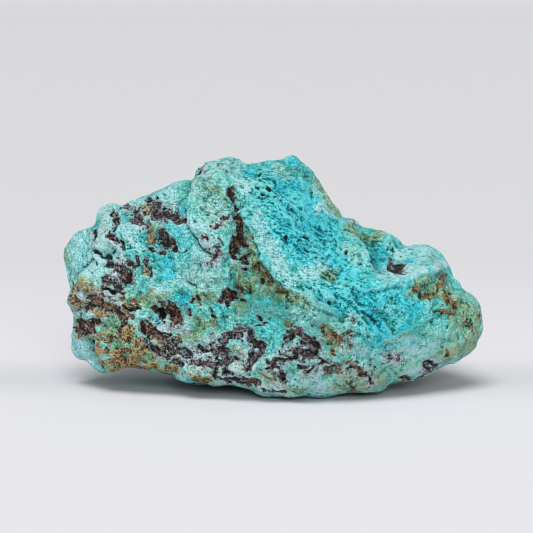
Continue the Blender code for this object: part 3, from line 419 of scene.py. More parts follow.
CHALK: Marks = (
    (2.2, -13.6, 44, -12.8, 39, -10.6, 36.4), (1.4, -11, 46, -7, 46.4), (1.2, 1.2, 46.2, 2.6, 44.6),
    (1.2, 8.4, 43.2, 10.8, 39.4, 13, 36.4), (3.2, 6.4, 16.6, 9.4, 14.6),
    (1.2, 14.8, 29.6, 17.2, 27.4), (0.9, 32, 28.4, 33.8, 26.2), (2.4, -14.4, 25.4, -12.6, 22.4),
    (1.4, -33.6, 37, -34, 30), (1, -7, 16.6, -3, 17.4, 2, 16.4),
)
# Painted light: lines where the crust is made lighter, mostly along the bottom and the left foot,
# which look down into shade, and on the ledge.
PAINTED_LIGHT: Marks = (
    (3.4, -39, 10.4, -37, 8.4, -34.4, 7), (3.2, -24, 5.2, -12, 4, 0, 3, 12, 2.8, 24, 4.6, 34, 7.4),
    (2.4, 4.4, 39.4, 8.6, 36.4), (2.2, 13.4, 30.4, 17, 28.8), (1.4, 24, 25.2, 30, 26.2),
    (1.2, 8.4, 41.6, 9.8, 39.8), (1, -2.4, 36.6, 1, 36), (1.1, 1.8, 28.6, 4.6, 27.8),
    (1.8, 9.6, 24.2, 13.4, 23), (1.8, 38.6, 13, 40.2, 10.2), (2.6, -18.4, 11.4, -14.4, 9),
    (1, -4.4, 23.4, -1.6, 22.4), (2, 25.2, 28.8, 27.8, 27), (1.6, -34, 36.6, -33.4, 31),
    (1.8, -22.6, 35.2, -16.6, 33.8), (2.4, 26, 10.4, 33, 9.4), (1.4, -34.6, 30, -34.2, 26),
    (1.4, -28.6, 12, -26, 10),
)
# Painted shade: lines where the crust is made darker, mostly a band across the lower front.
PAINTED_SHADE: Marks = (
    (2.6, -12.6, 16.4, -4, 17.6, 2, 17), (2.2, 5.6, 16.2, 10, 15.4), (2.6, 14, 16.2, 34, 16),
    (1.4, 4.8, 44.6, 6.6, 44.2), (2, -12.4, 39, -10, 37.4),
)
CALM: Marks = (
    (2.8, 6.2, 17, 9.6, 15), (2.6, -4, 18.4, 2.4, 17.4), (2.4, -38.8, 11.2, -36.2, 7.4),
    (2.8, 22, 17.4, 27, 14), (1.2, 8.6, 42.2, 10.4, 39.6),
)
BUSY: Marks = (
    (2, -12.4, 46, -8, 45.4), (2, -12.6, 38.6, -10, 36.6), (1.8, -28.6, 31.4, -25, 30),
    (2, -16, 4.6, -8, 3.2, 0, 2.2, 10, 2.4, 16, 3), (1.6, 15, 31, 17.4, 28.6),
    (1.6, 20.4, 32, 25.6, 31), (2, 9.4, 25, 13, 23),
)
GRIT: Marks = (
    (4, -2, 41, 3, 36, 6, 30, 10, 25), (3.4, 6, 22, 13, 21, 19, 17.6), (2, 9, 33, 11.4, 29),
    (2.4, 18, 14, 24, 16),
)
PITS: Marks = (
    (0.3, 0.6, 43.5, 1.1, 42.7), (0.35, -0.8, 42, -0.5, 41.6), (0.25, -1.9, 40.9, -1.6, 40.7),
    (0.25, -3.2, 44.7, -2.6, 44.3), (0.2, -2.6, 43.2, -2.2, 42.8), (0.2, 5.6, 43.9, 5.8, 43.7),
    (0.2, -0.6, 38.8, -0.2, 38.4), (0.2, -3.4, 41.6, -3, 41.4), (0.2, 3.6, 37.2, 4.1, 36.6),
    (0.25, 9.4, 34.3, 10, 34.1), (0.25, 2.4, 32, 3, 31.6), (0.2, 5.6, 31.6, 6.4, 31.4),
    (0.3, 14.8, 29.2, 14.8, 28.6), (0.25, 10.8, 24.6, 11.4, 24.2), (0.25, -2.3, 23.6, -2.1, 22.6),
    (0.45, -22.5, 16.9, -22.1, 16), (0.3, -36.8, 29.4, -35.6, 29, -34.2, 28.2, -32.8, 28.2),
    (0.25, -33.4, 21.4, -31.2, 20.7), (0.2, -30, 18.3, -27.2, 17.4), (0.2, -36.5, 11, -36.5, 8.8),
    (0.25, 10.8, 18.8, 11.2, 18.6), (0.25, 6.4, 29.2, 7, 28.9), (0.3, 24, 29.9, 24.3, 29.5),
    (0.2, 39.6, 20, 39.7, 19.8),
)
# Broken edges of the front: how far the ground drops, in millimetres, on the right of each line.
SCARPS: tuple[tuple[float, Line], ...] = (
    (0.9, ((-4.6, 33.6), (-3.9, 32.6), (-2.9, 30), (-2.4, 28.4), (-0.5, 24.4), (1.9, 22.2),
           (5.2, 20.5), (7.8, 19), (11.1, 17.2))),
    (0.6, ((19, 21), (22.6, 22), (25, 22.6), (27, 23.4), (29, 24.6), (31.4, 25.2),
           (33.4, 25.6))),
    (0.8, ((21.4, 25), (20.8, 26), (20, 28.5), (18.5, 31), (16, 33))),
    (0.35, ((-15, 43.6), (-16, 41.4), (-16.4, 39.4), (-17.2, 36.8), (-17, 34.6), (-15.4, 31.8),
           (-13.8, 29.8))),
    (0.4, ((-34.8, 34), (-35.4, 30.2), (-36.4, 27.4), (-38.6, 24))),
    (0.7, ((-38.4, 12.6), (-36.4, 11.2), (-35.4, 8.8), (-34, 6.2))),
)
# Olive and rust are kept to the low side of these two edges, the crest and the ledge; along the
# crest this is painted shade.
STAIN_AND_SHADE_SCARPS = SCARPS[:2]
CRACKS: tuple[Line, ...] = (
    ((-37, 29.4), (-35.6, 29), (-34.2, 28.2), (-32.8, 28.2), (-32, 29.4)),
    ((-38.2, 26.2), (-37, 27.8), (-36, 27.4), (-35.2, 26.2)),
    ((-17, 34.4), (-15.9, 32.7), (-15.3, 31.6), (-14, 29.8), (-12.6, 28.4)),
    ((-18, 28.8), (-16, 30.6)),
    ((-17.6, 23.4), (-15.2, 21.8)),
    ((-36.4, 11.2), (-36.4, 8.8)),
    ((-33.8, 21.8), (-31, 20.8)),
    ((19.7, 28.4), (20.4, 26.1), (21.4, 24.8)),
    ((17.7, 17.2), (19.2, 16.6), (20.8, 15.6)),
)


# ------------------------------------------------------------------------------- numbers


def smooth_step(low: float, high: float, value: Array) -> Array:
    """An S-shaped rise.

    Args:
        low: Where the rise starts.
        high: Where it ends.
        value: What to look up.

    Returns:
        0 below low, 1 above high, and 3s^2 - 2s^3 of the share s between.
    """
    share = np.clip((value - low) / (high - low), 0, 1)
    return share * share * (3 - 2 * share)


def bell(distance: Array, width: float) -> Array:
    """A bell curve: e to the power of minus the square of distance over width."""
    return np.exp(-((distance / width) ** 2))


def distance_to_line(plan: Array, line: Line) -> Array:
    """How far each point is from a line of straight pieces.

    Args:
        plan: Points, as rows of across and up.
        line: The line's corners.

    Returns:
        The least distance: to each straight piece, the point less its nearest point there.
    """
    nearest = np.full(len(plan), np.inf)
    for start, end in zip(np.array(line[:-1]), np.array(line[1:])):
        along = np.clip((plan - start) @ (end - start) / ((end - start) ** 2).sum(), 0, 1)
        away = np.linalg.norm(plan - start - along[:, None] * (end - start), axis=1)
        nearest = np.minimum(nearest, away)
    return nearest


def side_of_line(plan: Array, line: Line) -> Array:
    """Which side of a line each point is on.

    Args:
        plan: Points, as rows of across and up.
        line: The line's corners.

    Returns:
        The distance from the nearest straight piece's own line, above 0 on the left of it.
    """
    nearest, side = np.full(len(plan), np.inf), np.zeros(len(plan))
    for start, end in zip(np.array(line[:-1]), np.array(line[1:])):
        away = distance_to_line(plan, (start, end))
        (x, y), off = (end - start) / np.linalg.norm(end - start), plan - start
        side = np.where(away < nearest, x * off[:, 1] - y * off[:, 0], side)
        nearest = np.minimum(nearest, away)
    return side


@dataclass(frozen=True)
class Chips:
    """How the facets of a broken surface lie."""

    sharpness: float = 14.0
    scatter: float = 0.45
    step: float = 0.5


@dataclass(frozen=True)
class Noise:
    """Repeatable noise in space, worked out from a lattice of mixed digits."""

    seed: int = 7
    seed_step: int = 101
    gain: float = 1.5
    scatter: float = 0.45
    word: int = 0xFFFFFFFF
    cell_primes: tuple[int, int, int] = (73856093, 19349663, 83492791)
    salt_prime: int = 2654435761
    stir_prime: int = 2246822519

    def lattice(self, cells: Array, salt: int) -> Array:
        """A repeatable number for each whole-numbered cell.

        Args:
            cells: Cells, as rows of three whole numbers.
            salt: Which of many such lattices.

        Returns:
            A number from -1 to 1 for each cell.
        """
        mixed = (cells.astype(np.int64) * self.cell_primes).sum(axis=-1)
        mixed = (mixed + (salt + self.seed_step * self.seed) * self.salt_prime) & self.word
        for shift in (16, 13, 16):
            mixed = ((mixed ^ (mixed >> shift)) * self.stir_prime) & self.word
        return mixed / (self.word // 2) - 1.0

    def three(self, cells: Array, salt: int) -> Array:
        """Three such numbers for each cell, as rows."""
        return np.stack([self.lattice(cells, salt + k) for k in range(3)], axis=1)

    def waves(self, points: Array, size: float, salt: int) -> Array:
        """Gradient noise: random slopes on a lattice, blended by the fifth-power ease.

        Args:
            points: Where, as rows of three.
            size: The lattice's step, in the points' own unit.
            salt: Which of many such noises.

        Returns:
            About -1 to 1 at each point.
        """
        at = points / size
        base = np.floor(at).astype(np.int64)
        inside = at - base
        blend = inside**3 * (inside * (inside * 6 - 15) + 10)
        total = np.zeros(len(points))
        for corner in np.ndindex(2, 2, 2):
            weight = np.prod(np.where(corner, blend, 1 - blend), axis=1)
            slope = self.three(base + corner, salt)
            total += weight * (slope * (inside - corner)).sum(axis=1)
        return total * self.gain

    def fractal(self, points: Array, size: float, octaves: int, salt: int) -> Array:
        """Waves on waves: each octave has half the size and half the height of the last."""
        layers = range(octaves)
        return sum(self.waves(points, size / 2**k, salt + 10 * k) / 2**k for k in layers)

    def around(
        self, points: Array, size: float, salt: int, scatter: float
    ) -> Iterator[tuple[Array, Array]]:
        """The 27 cells round each point, each with a seed near its middle.

        Args:
            points: Where, as rows of three.
            size: The cells' size.
            salt: Which of many such lattices.
            scatter: How far from the middle a seed may be, as a share of the size.

        Yields:
            The cell, and the way from its seed to the point, as a share of the size.
        """
        at = points / size
        base = np.floor(at).astype(np.int64)
        for offset in np.ndindex(3, 3, 3):
            cell = base + np.array(offset) - 1
            yield cell, at - (cell + 0.5 + scatter * self.three(cell, salt))

    def chips(self, points: Array, size: float, salt: int, shape: Chips) -> Array:
        """Flat facets, each tilted its own way and a step up or down, with soft arrises.

        Args:
            points: Where, as rows of three.
            size: The facets' size.
            salt: Which of many such surfaces.
            shape: How the facets are scattered, stepped and blended.

        Returns:
            The height: each facet's plane, weighted by a bell curve round the facet's seed.
        """
        total, weights = np.zeros(len(points)), np.zeros(len(points))
        for cell, away in self.around(points, size, salt, shape.scatter):
            weight = np.exp(-shape.sharpness * (away**2).sum(axis=1))
            tilted = (self.three(cell, salt + 3) * away).sum(axis=1)
            total += weight * (tilted + shape.step * self.lattice(cell, salt + 6))
            weights += weight
        return total / np.maximum(weights, NEVER_ZERO)

    def seeds(self, points: Array, size: float, salt: int) -> Array:
        """Scattered seeds.

        Args:
            points: Where, as rows of three.
            size: The seeds' spacing.
            salt: Which of many such scatterings.

        Returns:
            The distance to the nearest seed, as a share of the spacing.
        """
        nearest = np.full(len(points), np.inf)
        for _, away in self.around(points, size, salt, self.scatter):
            nearest = np.minimum(nearest, np.sqrt((away**2).sum(axis=1)))
        return nearest


# ------------------------------------------------------------------- outline and landforms


@dataclass
class Outline:
    """The stone's outline as a function of the angle round the drawing plane's middle."""

    middle: Pair = (0.0, 21.0)
    steps: int = 12
    rear_share: float = 0.9
    rear_change: float = 0.05
    rear_waves: int = 5
    rear_rounding: int = 60
    rear_foot_share: float = 1.03
    rear_foot_turn: Pair = (0.55, 0.85)

    def __post_init__(self) -> None:
        """Shares the full turn among the samples, half by angle and half by length."""
        curve = self.curve()[::-1]
        self.ends = np.vstack([curve, curve[:1]])
        off = self.ends[:, :2] - self.middle
        angle = np.unwrap(np.arctan2(off[:, 1], off[:, 0]))
        length = np.linalg.norm(np.diff(self.ends[:, :2], axis=0), axis=1).cumsum()
        even = np.concatenate([[0], length / length[-1]]) * 2 * math.pi + angle[0]
        self.turn = (angle + even) / 2
        self.rear_ends = self.rear(curve)

    def curve(self) -> Array:
        """A Catmull-Rom curve through the outline's points and back to the first.

        Returns:
            Across, up and out of its samples, as rows.
        """
        p = np.array(OUTLINE, float)
        before, start, end, after = (np.roll(p, k, axis=0)[:, None] for k in (1, 0, -1, -2))
        s = np.arange(self.steps)[None, :, None] / self.steps
        cubic = (3 * start - before - 3 * end + after) * s**3
        square = (2 * before - 5 * start + 4 * end - after) * s**2
        return (0.5 * (2 * start + (end - before) * s + square + cubic)).reshape(-1, 3)

    def rear(self, curve: Array) -> Array:
        """The plainer outline of the back.

        Args:
            curve: The outline's samples.

        Returns:
            Their running mean, drawn in towards the middle except at the foot.
        """
        reach = self.rear_rounding
        wide = np.vstack([curve[-reach:], curve, curve[:reach]])
        flat = np.ones(2 * reach + 1) / (2 * reach + 1)
        mean = np.stack([np.convolve(column, flat, "valid") for column in wide.T[:2]], 1)
        turn = self.turn[:-1]
        foot = smooth_step(*self.rear_foot_turn, -np.sin(turn))
        share = self.rear_share + self.rear_change * np.sin(self.rear_waves * turn)
        share += foot * (self.rear_foot_share - share)
        mean = self.middle + share[:, None] * (mean - self.middle)
        return np.vstack([mean, mean[:1]])

    def at(self, angle: Array) -> tuple[Array, Array]:
        """Looks the outline up.

        Args:
            angle: Angles round the middle, in radians.

        Returns:
            Across, up and out of the outline, and across and up of the back's outline.
        """
        turned = (angle - self.turn[0]) % (2 * math.pi) + self.turn[0]
        front = np.stack([np.interp(turned, self.turn, c) for c in self.ends.T], 1)
        rear = np.stack([np.interp(turned, self.turn, c) for c in self.rear_ends.T], 1)
        return front, rear


@dataclass
class Relief:
    """The height of one side of the stone over the drawing plane, kept on a fine raster."""

    edge: Sequence[tuple[float, ...]]
    ridges: Sequence[Line]
    faces: Sequence[Line]
    step: float = 0.25
    margin: float = 4.0
    rounding: float = 0.45
    overlap: float = 1e-6

    def __post_init__(self) -> None:
        """Joins the points to triangles whose sides follow the ridges, and fills the raster."""
        points = [p for group in (self.edge, *self.ridges, *self.faces) for p in group]
        sides, first = [], len(self.edge)
        for ridge in self.ridges:
            sides += [(first + k, first + k + 1) for k in range(len(ridge) - 1)]
            first += len(ridge)
        flat = [Vector(p[:2]) for p in points]
        kept, _, faces, source, _, _ = delaunay_2d_cdt(flat, sides, [], 0, self.overlap, True)
        heights = np.array([points[ids[0]][2] for ids in source], float)
        plan = np.array([tuple(v) for v in kept])
        self.low = plan.min(0) - self.margin
        counts = np.ceil((plan.max(0) + self.margin - self.low) / self.step).astype(int)
        self.height = np.full(counts, np.nan)
        for corners in faces:
            self.fill(plan[list(corners)], heights[list(corners)])
        self.spread()
        self.soften(self.rounding / self.step)

    def fill(self, corners: Array, heights: Array) -> None:
        """Writes one flat triangle into the raster, by each cell's shares of the corners.

        Args:
            corners: Across and up of its corners, as rows.
            heights: The height of each corner.
        """
        start = np.floor((corners.min(0) - self.low) / self.step).astype(int)
        stop = np.ceil((corners.max(0) - self.low) / self.step).astype(int) + 1
        window = tuple(slice(a, b) for a, b in zip(start, stop))
        sides = [np.arange(a, b) for a, b in zip(start, stop)]
        cells = np.stack(np.meshgrid(*sides, indexing="ij"), -1)
        to_plan = np.linalg.inv(np.vstack([corners.T, np.ones(3)]))
        shares = (cells * self.step + self.low) @ to_plan[:, :2].T + to_plan[:, 2]
        inside = (shares > -self.overlap).all(axis=-1)
        self.height[window][inside] = shares[inside] @ heights

    def spread(self) -> None:
        """Carries the outermost heights on past the outline, a cell at a time."""
        while np.isnan(self.height).any():
            p = np.pad(self.height, 1, constant_values=np.nan)
            around = np.stack((p[1:-1, 2:], p[1:-1, :-2], p[2:, 1:-1], p[:-2, 1:-1]))
            known = ~np.isnan(around)
            mean = np.where(known, around, 0).sum(0) / np.maximum(known.sum(0), 1)
            fresh = np.isnan(self.height) & known.any(0)
            self.height[fresh] = mean[fresh]

    def soften(self, radius: float) -> None:
        """Blurs the raster by a bell curve, one axis and then the other.

        Args:
            radius: The bell's standard radius, in cells.
        """
        reach = int(3 * radius) + 1
        weights = np.exp(-0.5 * (np.arange(-reach, reach + 1) / radius) ** 2)
        weights /= weights.sum()
        for axis in (0, 1):
            border = [(reach * (k == axis),) * 2 for k in (0, 1)]
            p = np.pad(self.height, border, "edge")
            size = self.height.shape[axis]
            self.height = sum(s * p.take(range(k, k + size), axis) for k, s in enumerate(weights))

    def at(self, plan: Array) -> Array:
        """Looks the height up, from the four raster cells around each point.

        Args:
            plan: Points, as rows of across and up.

        Returns:
            The height at each point, blended by its place among the four.
        """
        last = np.array(self.height.shape) - 1 - self.overlap
        place = np.clip((plan - self.low) / self.step, 0, last)
        i, j = np.floor(place).astype(int).T
        s, t = (place - np.floor(place)).T
        near = self.height[i, j] * (1 - t) + self.height[i, j + 1] * t
        far = self.height[i + 1, j] * (1 - t) + self.height[i + 1, j + 1] * t
        return near * (1 - s) + far * s


@dataclass
class StoneForm:
    """The stone's form: from the directions of a sphere to its surface."""

    noise: Noise = Noise()
    face_share: float = 0.72
    edge_sharpness: float = 8.0
    front_edge: float = 2.5
    back_edge: float = 8.0
    back_edge_change: float = 2.5
    back_edge_wave: float = 5.0
    foot_back_edge: float = 18.0
    foot_height: Pair = (3.0, 10.0)
    foot_half_length: Pair = (20.0, 34.0)
    rear_reach: float = 0.4
    rim_wander: float = 2.0
    rim_wander_size: float = 8.0
    warp_size: float = 5.0
    warp_depth: float = 0.7
    half_thickness: float = 20.0
    chip_size: float = 6.0
    chip_depth: float = 0.55
    lump_size: float = 3.2
    lump_depth: float = 0.42
    edge_roughness: float = 0.45
    groove_share: float = 0.6
    outline: Outline = field(default_factory=Outline)

    def edge_points(self, front: bool) -> list[Triple]:
        """The outline's points where they round over.

        Args:
            front: Whether into the front, or else into the back.

        Returns:
            The outline's points: a little out in front, or as far back as the wall goes there.
        """
        found = []
        for across, up, out in OUTLINE:
            foot = 1 - float(smooth_step(*self.foot_height, np.float64(up)))
            foot *= 1 - float(smooth_step(*self.foot_half_length, np.float64(abs(across))))
            wave = math.sin((across + up) / self.back_edge_wave)
            behind = self.back_edge + self.back_edge_change * wave
            behind += (self.foot_back_edge - behind) * foot
            found.append((across, up, out + self.front_edge if front else out - behind))
        return found

    def soft_limit(self, value: Array) -> Array:
        """The value where it is small, never above 1, and a round corner between."""
        n = self.edge_sharpness
        return value / (1 + value**n) ** (1 / n)

    def grooved(self, plan: Array) -> Array:
        """How deep the front's grooves and hollows go.

        Args:
            plan: Points, as rows of across and up.

        Returns:
            The depth at each point: a bell curve across each line, all added up.
        """
        depth = np.zeros(len(plan))
        for width, most, line in GROOVES:
            depth += most * bell(distance_to_line(plan, line), self.groove_share * width)
        return depth

    def laid_out(self, directions: Array) -> tuple[Array, Array, Array]:
        """Carries unit directions onto the landforms.

        The angle round the front-to-back axis picks a place on the outline. The share of the
        way from the pole to the rim, by area, sets how far out towards the outline a point
        lies, and how much of the face's depth it has against the outline's.

        Args:
            directions: Unit directions, as rows.

        Returns:
            Across, up and out in millimetres; how far each point is from the rim, from 0 to 1;
            and where on the plan each point's height was looked up.
        """
        middle = np.array(self.outline.middle)
        rim, rear_rim = self.outline.at(np.arctan2(directions[:, 2], directions[:, 0]))
        rear = smooth_step(0, self.rear_reach, directions[:, 1])[:, None]
        edge = rim[:, :2] + rear * (rear_rim - rim[:, :2])
        towards_rim = 1 - np.abs(directions[:, 1])
        widest = self.soft_limit(np.array(self.face_share**-0.5))
        reach = self.soft_limit((towards_rim / self.face_share) ** 0.5) / widest
        facing = self.soft_limit((1 - towards_rim) / (1 - self.face_share))
        plan = middle + reach[:, None] * (edge - middle)
        solid = np.column_stack([plan, self.half_thickness * directions[:, 1]])
        warp = [self.noise.waves(solid, self.warp_size, salt) for salt in (1, 5)]
        looked_up = plan + self.warp_depth * facing[:, None] * np.column_stack(warp)
        front = Relief(self.edge_points(True), FRONT_RIDGES, FRONT_FACES).at(looked_up)
        front -= self.grooved(looked_up)
        back = Relief(self.edge_points(False), BACK_RIDGES, (BACK_FACE,)).at(looked_up)
        face = np.where(directions[:, 1] < 0, front, back)
        side = rim[:, 2] + self.rim_wander * self.noise.waves(rim, self.rim_wander_size, 20)
        points = np.column_stack([plan, side + facing * (face - side)])
        return points, facing, looked_up

    def roughness(self, points: Array, facing: Array) -> Array:
        """How far the broken surface stands out: facets and lumps, less so near the rim.

        Args:
            points: Across, up and out, as rows.
            facing: How far each point is from the rim, from 0 to 1.

        Returns:
            The height at each point, in millimetres.
        """
        height = self.chip_depth * self.noise.chips(points, self.chip_size, 40, Chips())
        height += self.lump_depth * self.noise.fractal(points, self.lump_size, 2, 60)
        return height * (self.edge_roughness + (1 - self.edge_roughness) * facing)


# ------------------------------------------------------------------------------- surfaces


KEYS_PER_RADIUS = 1e6


def placed(name: str, data: Any) -> bpy.types.Object:
    """A new object in the scene.

    Args:
        name: Its name.
        data: Its mesh, lamp or camera.

    Returns:
        The object, at its origin.
    """
    made = bpy.data.objects.new(name, data)
    bpy.context.scene.collection.objects.link(made)
    return made


@dataclass
class Surface:
    """A closed surface of four-sided faces, as arrays of points and corners."""

    points: Array
    quads: Array

    @classmethod
    def cube_sphere(cls, across: int, lean_forward: float) -> "Surface":
        """The unit sphere as the six sides of a cube, with denser faces in front.

        A side's two parameters go through the tangent, so that its faces are nearly alike. Then
        y becomes y - k (1 - y^2), which draws the faces towards the front, -Y.

        Args:
            across: Faces along each side of the cube.
            lean_forward: The k above.

        Returns:
            The sphere, closed, with its faces outwards.
        """
        s = np.tan(np.linspace(-1, 1, across + 1) * math.pi / 4)
        a, b = np.meshgrid(s, s, indexing="ij")
        sides = []
        for axis in range(3):
            for sign in (1.0, -1.0):
                side = np.empty((across + 1, across + 1, 3))
                side[..., axis] = sign
                side[..., (axis + 1) % 3] = a if sign > 0 else b
                side[..., (axis + 2) % 3] = b if sign > 0 else a
                sides.append(side.reshape(-1, 3))
        points = np.vstack(sides)
        points /= np.linalg.norm(points, axis=1)[:, None]
        i, j = np.meshgrid(np.arange(across), np.arange(across), indexing="ij")
        corner = (i * (across + 1) + j).ravel()
        quad = np.stack([corner, corner + across + 1, corner + across + 2, corner + 1], 1)
        quads = np.vstack([quad + k * (across + 1) ** 2 for k in range(6)])
        keys = np.round(points * KEYS_PER_RADIUS).astype(np.int64)
        _, kept, renamed = np.unique(keys, axis=0, return_index=True, return_inverse=True)
        points, quads = points[kept], renamed.reshape(-1)[quads]
        y = points[:, 1] - lean_forward * (1 - points[:, 1] ** 2)
        wide = np.sqrt((1 - y**2) / np.maximum(1 - points[:, 1] ** 2, NEVER_ZERO))
        return cls(np.column_stack([points[:, 0] * wide, y, points[:, 2] * wide]), quads)

    def normals(self) -> Array:
        """Unit normals of the points.

        Returns:
            The sum of the cross products of the diagonals of each point's faces, at length 1.
        """
        p = self.points[self.quads]
        cross = np.cross(p[:, 2] - p[:, 0], p[:, 3] - p[:, 1])
        total = self.gathered(np.repeat(cross, 4, axis=0), self.quads.ravel())
        return total / np.maximum(np.linalg.norm(total, axis=1), NEVER_ZERO)[:, None]

    def gathered(self, values: Array, index: Array) -> Array:
        """The sum of the values that go to each point."""
        count = len(self.points)
        return np.stack([np.bincount(index, column, count) for column in values.T], 1)

    def blurred(self, values: Array, rounds: int) -> Array:
        """Blurs values over the surface.

        Args:
            values: A row for each point.
            rounds: How often to blur.

        Returns:
            The values, each time moved half way to the mean of the neighbours' values.
        """
        ends = np.vstack([self.quads[:, [k, (k + 1) % 4]] for k in range(4)])
        share = np.bincount(ends[:, 0], minlength=len(self.points))[:, None]
        for _ in range(rounds):
            around = self.gathered(values[ends[:, 1]], ends[:, 0]) / share
            values = (values + around) / 2
        return values

    def to_object(self, name: str, fields: dict[str, Array]) -> bpy.types.Object:
        """Makes a Blender object of it, in metres.

        Args:
            name: The object's name.
            fields: Numbers for each point, by the name of the attribute they go to.

        Returns:
            The object, smooth shaded, linked to the scene and at its origin.
        """
        mesh = bpy.data.meshes.new(name)
        mesh.from_pydata((self.points * MM).tolist(), [], self.quads.tolist())
        mesh.shade_smooth()
        for title, values in fields.items():
            layer = mesh.attributes.new(title, "FLOAT", "POINT")
            layer.data.foreach_set("value", values.astype(np.float32))
        return placed(name, mesh)


# ------------------------------------------------------------------------- the crust's fields


@dataclass(frozen=True)
class Cover:
    """How one finish covers the stone: its patches in front, and its spread elsewhere."""

    marks: Marks
    spread: float
    share: float
    salt: int
    ragged: float = 0.2
    ragged_size: float = 1.7
    least: float = -0.6

    def field(self, crust: "Crust") -> Array:
        """The cover's field, which the material cuts at one half.

        In front it is 1 - d/2r for the distance d to a line of reach r, the most of all lines.
        Elsewhere it is slow noise, raised so that its share is above one half.

        Args:
            crust: The points, and how far each faces the front.

        Returns:
            The field at each point, made ragged by quicker noise.
        """
        placed = np.full(len(crust.plan), self.least)
        for reach, *corners in self.marks:
            line = np.reshape(corners, (-1, 2))
            placed = np.maximum(placed, 1 - distance_to_line(crust.plan, line) / (2 * reach))
        wild = crust.noise.fractal(crust.places, self.spread, 3, self.salt)
        wild = 0.5 + 1.6 * (wild - np.quantile(wild, 1 - self.share))
        both = wild + crust.frontness * (placed - wild)
        quick = crust.noise.fractal(crust.places, self.ragged_size, 3, self.salt + 50)
        return np.clip(both + self.ragged * quick, self.least, 1)


# Each cover's marks; elsewhere, its spread in millimetres and its share of the surface; its salt;
# and how ragged its edge is, and at what size.
COVERS = {
    "matrix": Cover(MATRIX, 7.0, 0.09, 100, 0.26, 1.3),
    "umber": Cover(UMBER, 6.0, 0.4, 120),
    "islands": Cover(ISLANDS, 5.0, 0.04, 130, 0.1),
    "dust": Cover(DUST, 8.0, 0.08, 200, 0.3, 1.5),
    "ochre": Cover(OCHRE, 9.0, 0.06, 300, 0.35, 2.2),
    "greens": Cover(GREENS, 5.0, 0.04, 350, 0.25, 1.2),
    "rust": Cover(RUST, 5.0, 0.03, 400, 0.35, 1.3),
    # Olive stains, and painted shade along the crest's low side.
    "olive": Cover(OLIVE_AND_CREST_SHADE, 8.0, 0.2, 500, 0.3, 2.4),
    "azure": Cover(AZURE, 12.0, 0.3, 600, 0.25, 3.0),
    "mint": Cover(MINT, 14.0, 0.5, 620, 0.3, 4.0),
    # Painted shade in hollows.
    "deep": Cover(PAINTED_HOLLOW_SHADE, 8.0, 0.08, 650, 0.2, 2.0),
    # Paler crust, and painted light along the bottom and the foot.
    "pale": Cover(PALE_AND_PAINTED_LIGHT, 9.0, 0.3, 700, 0.2, 3.0),
    "chalk": Cover(CHALK, 10.0, 0.25, 730, 0.2, 2.6),
    # These two are painted light and painted shade.
    "painted_light": Cover(PAINTED_LIGHT, 7.0, 0.25, 820, 0.3, 2.0),
    "painted_shade": Cover(PAINTED_SHADE, 9.0, 0.2, 840, 0.3, 2.0),
    "calm": Cover(CALM, 8.0, 0.2, 860, 0.3, 2.0),
    "busy": Cover(BUSY, 8.0, 0.2, 880, 0.3, 2.0),
    "grit": Cover(GRIT, 11.0, 0.2, 750, 0.1, 3.0),
    "pits": Cover(PITS, 2.2, 0.015, 800, 0.08, 0.8),
}


class Grain(Enum):
    """The kinds of fine relief."""

    CHIPS = "tilted facets"
    FOAM = "hollows between thin ridges"
    DOMES = "knobs with creases between"


@dataclass(frozen=True)
class Layer:
    """One layer of fine relief."""

    kind: Grain
    height: float
    size: float
    salt: int
    drawn_out: bool = False
    sharpness: float = 20.0
    bend: float = 0.25

    def at(self, places: Array, noise: Noise) -> Array:
        """The layer's height.

        Args:
            places: Where, as rows of three.
            noise: The noise that it is made of.

        Returns:
            Facets; or the distance to the nearest seed, less one half; or one half less the
            square of that distance. The seeds' places are bent by waves.
        """
        if self.kind is Grain.CHIPS:
            return self.height * noise.chips(places, self.size, self.salt, Chips(self.sharpness))
        waves = [noise.waves(places, self.size, self.salt + k) for k in (1, 4, 7)]
        bent = places + self.bend * self.size * np.column_stack(waves)
        near = noise.seeds(bent, self.size, self.salt)
        return self.height * (near - 0.5 if self.kind is Grain.FOAM else 0.5 - near**2)


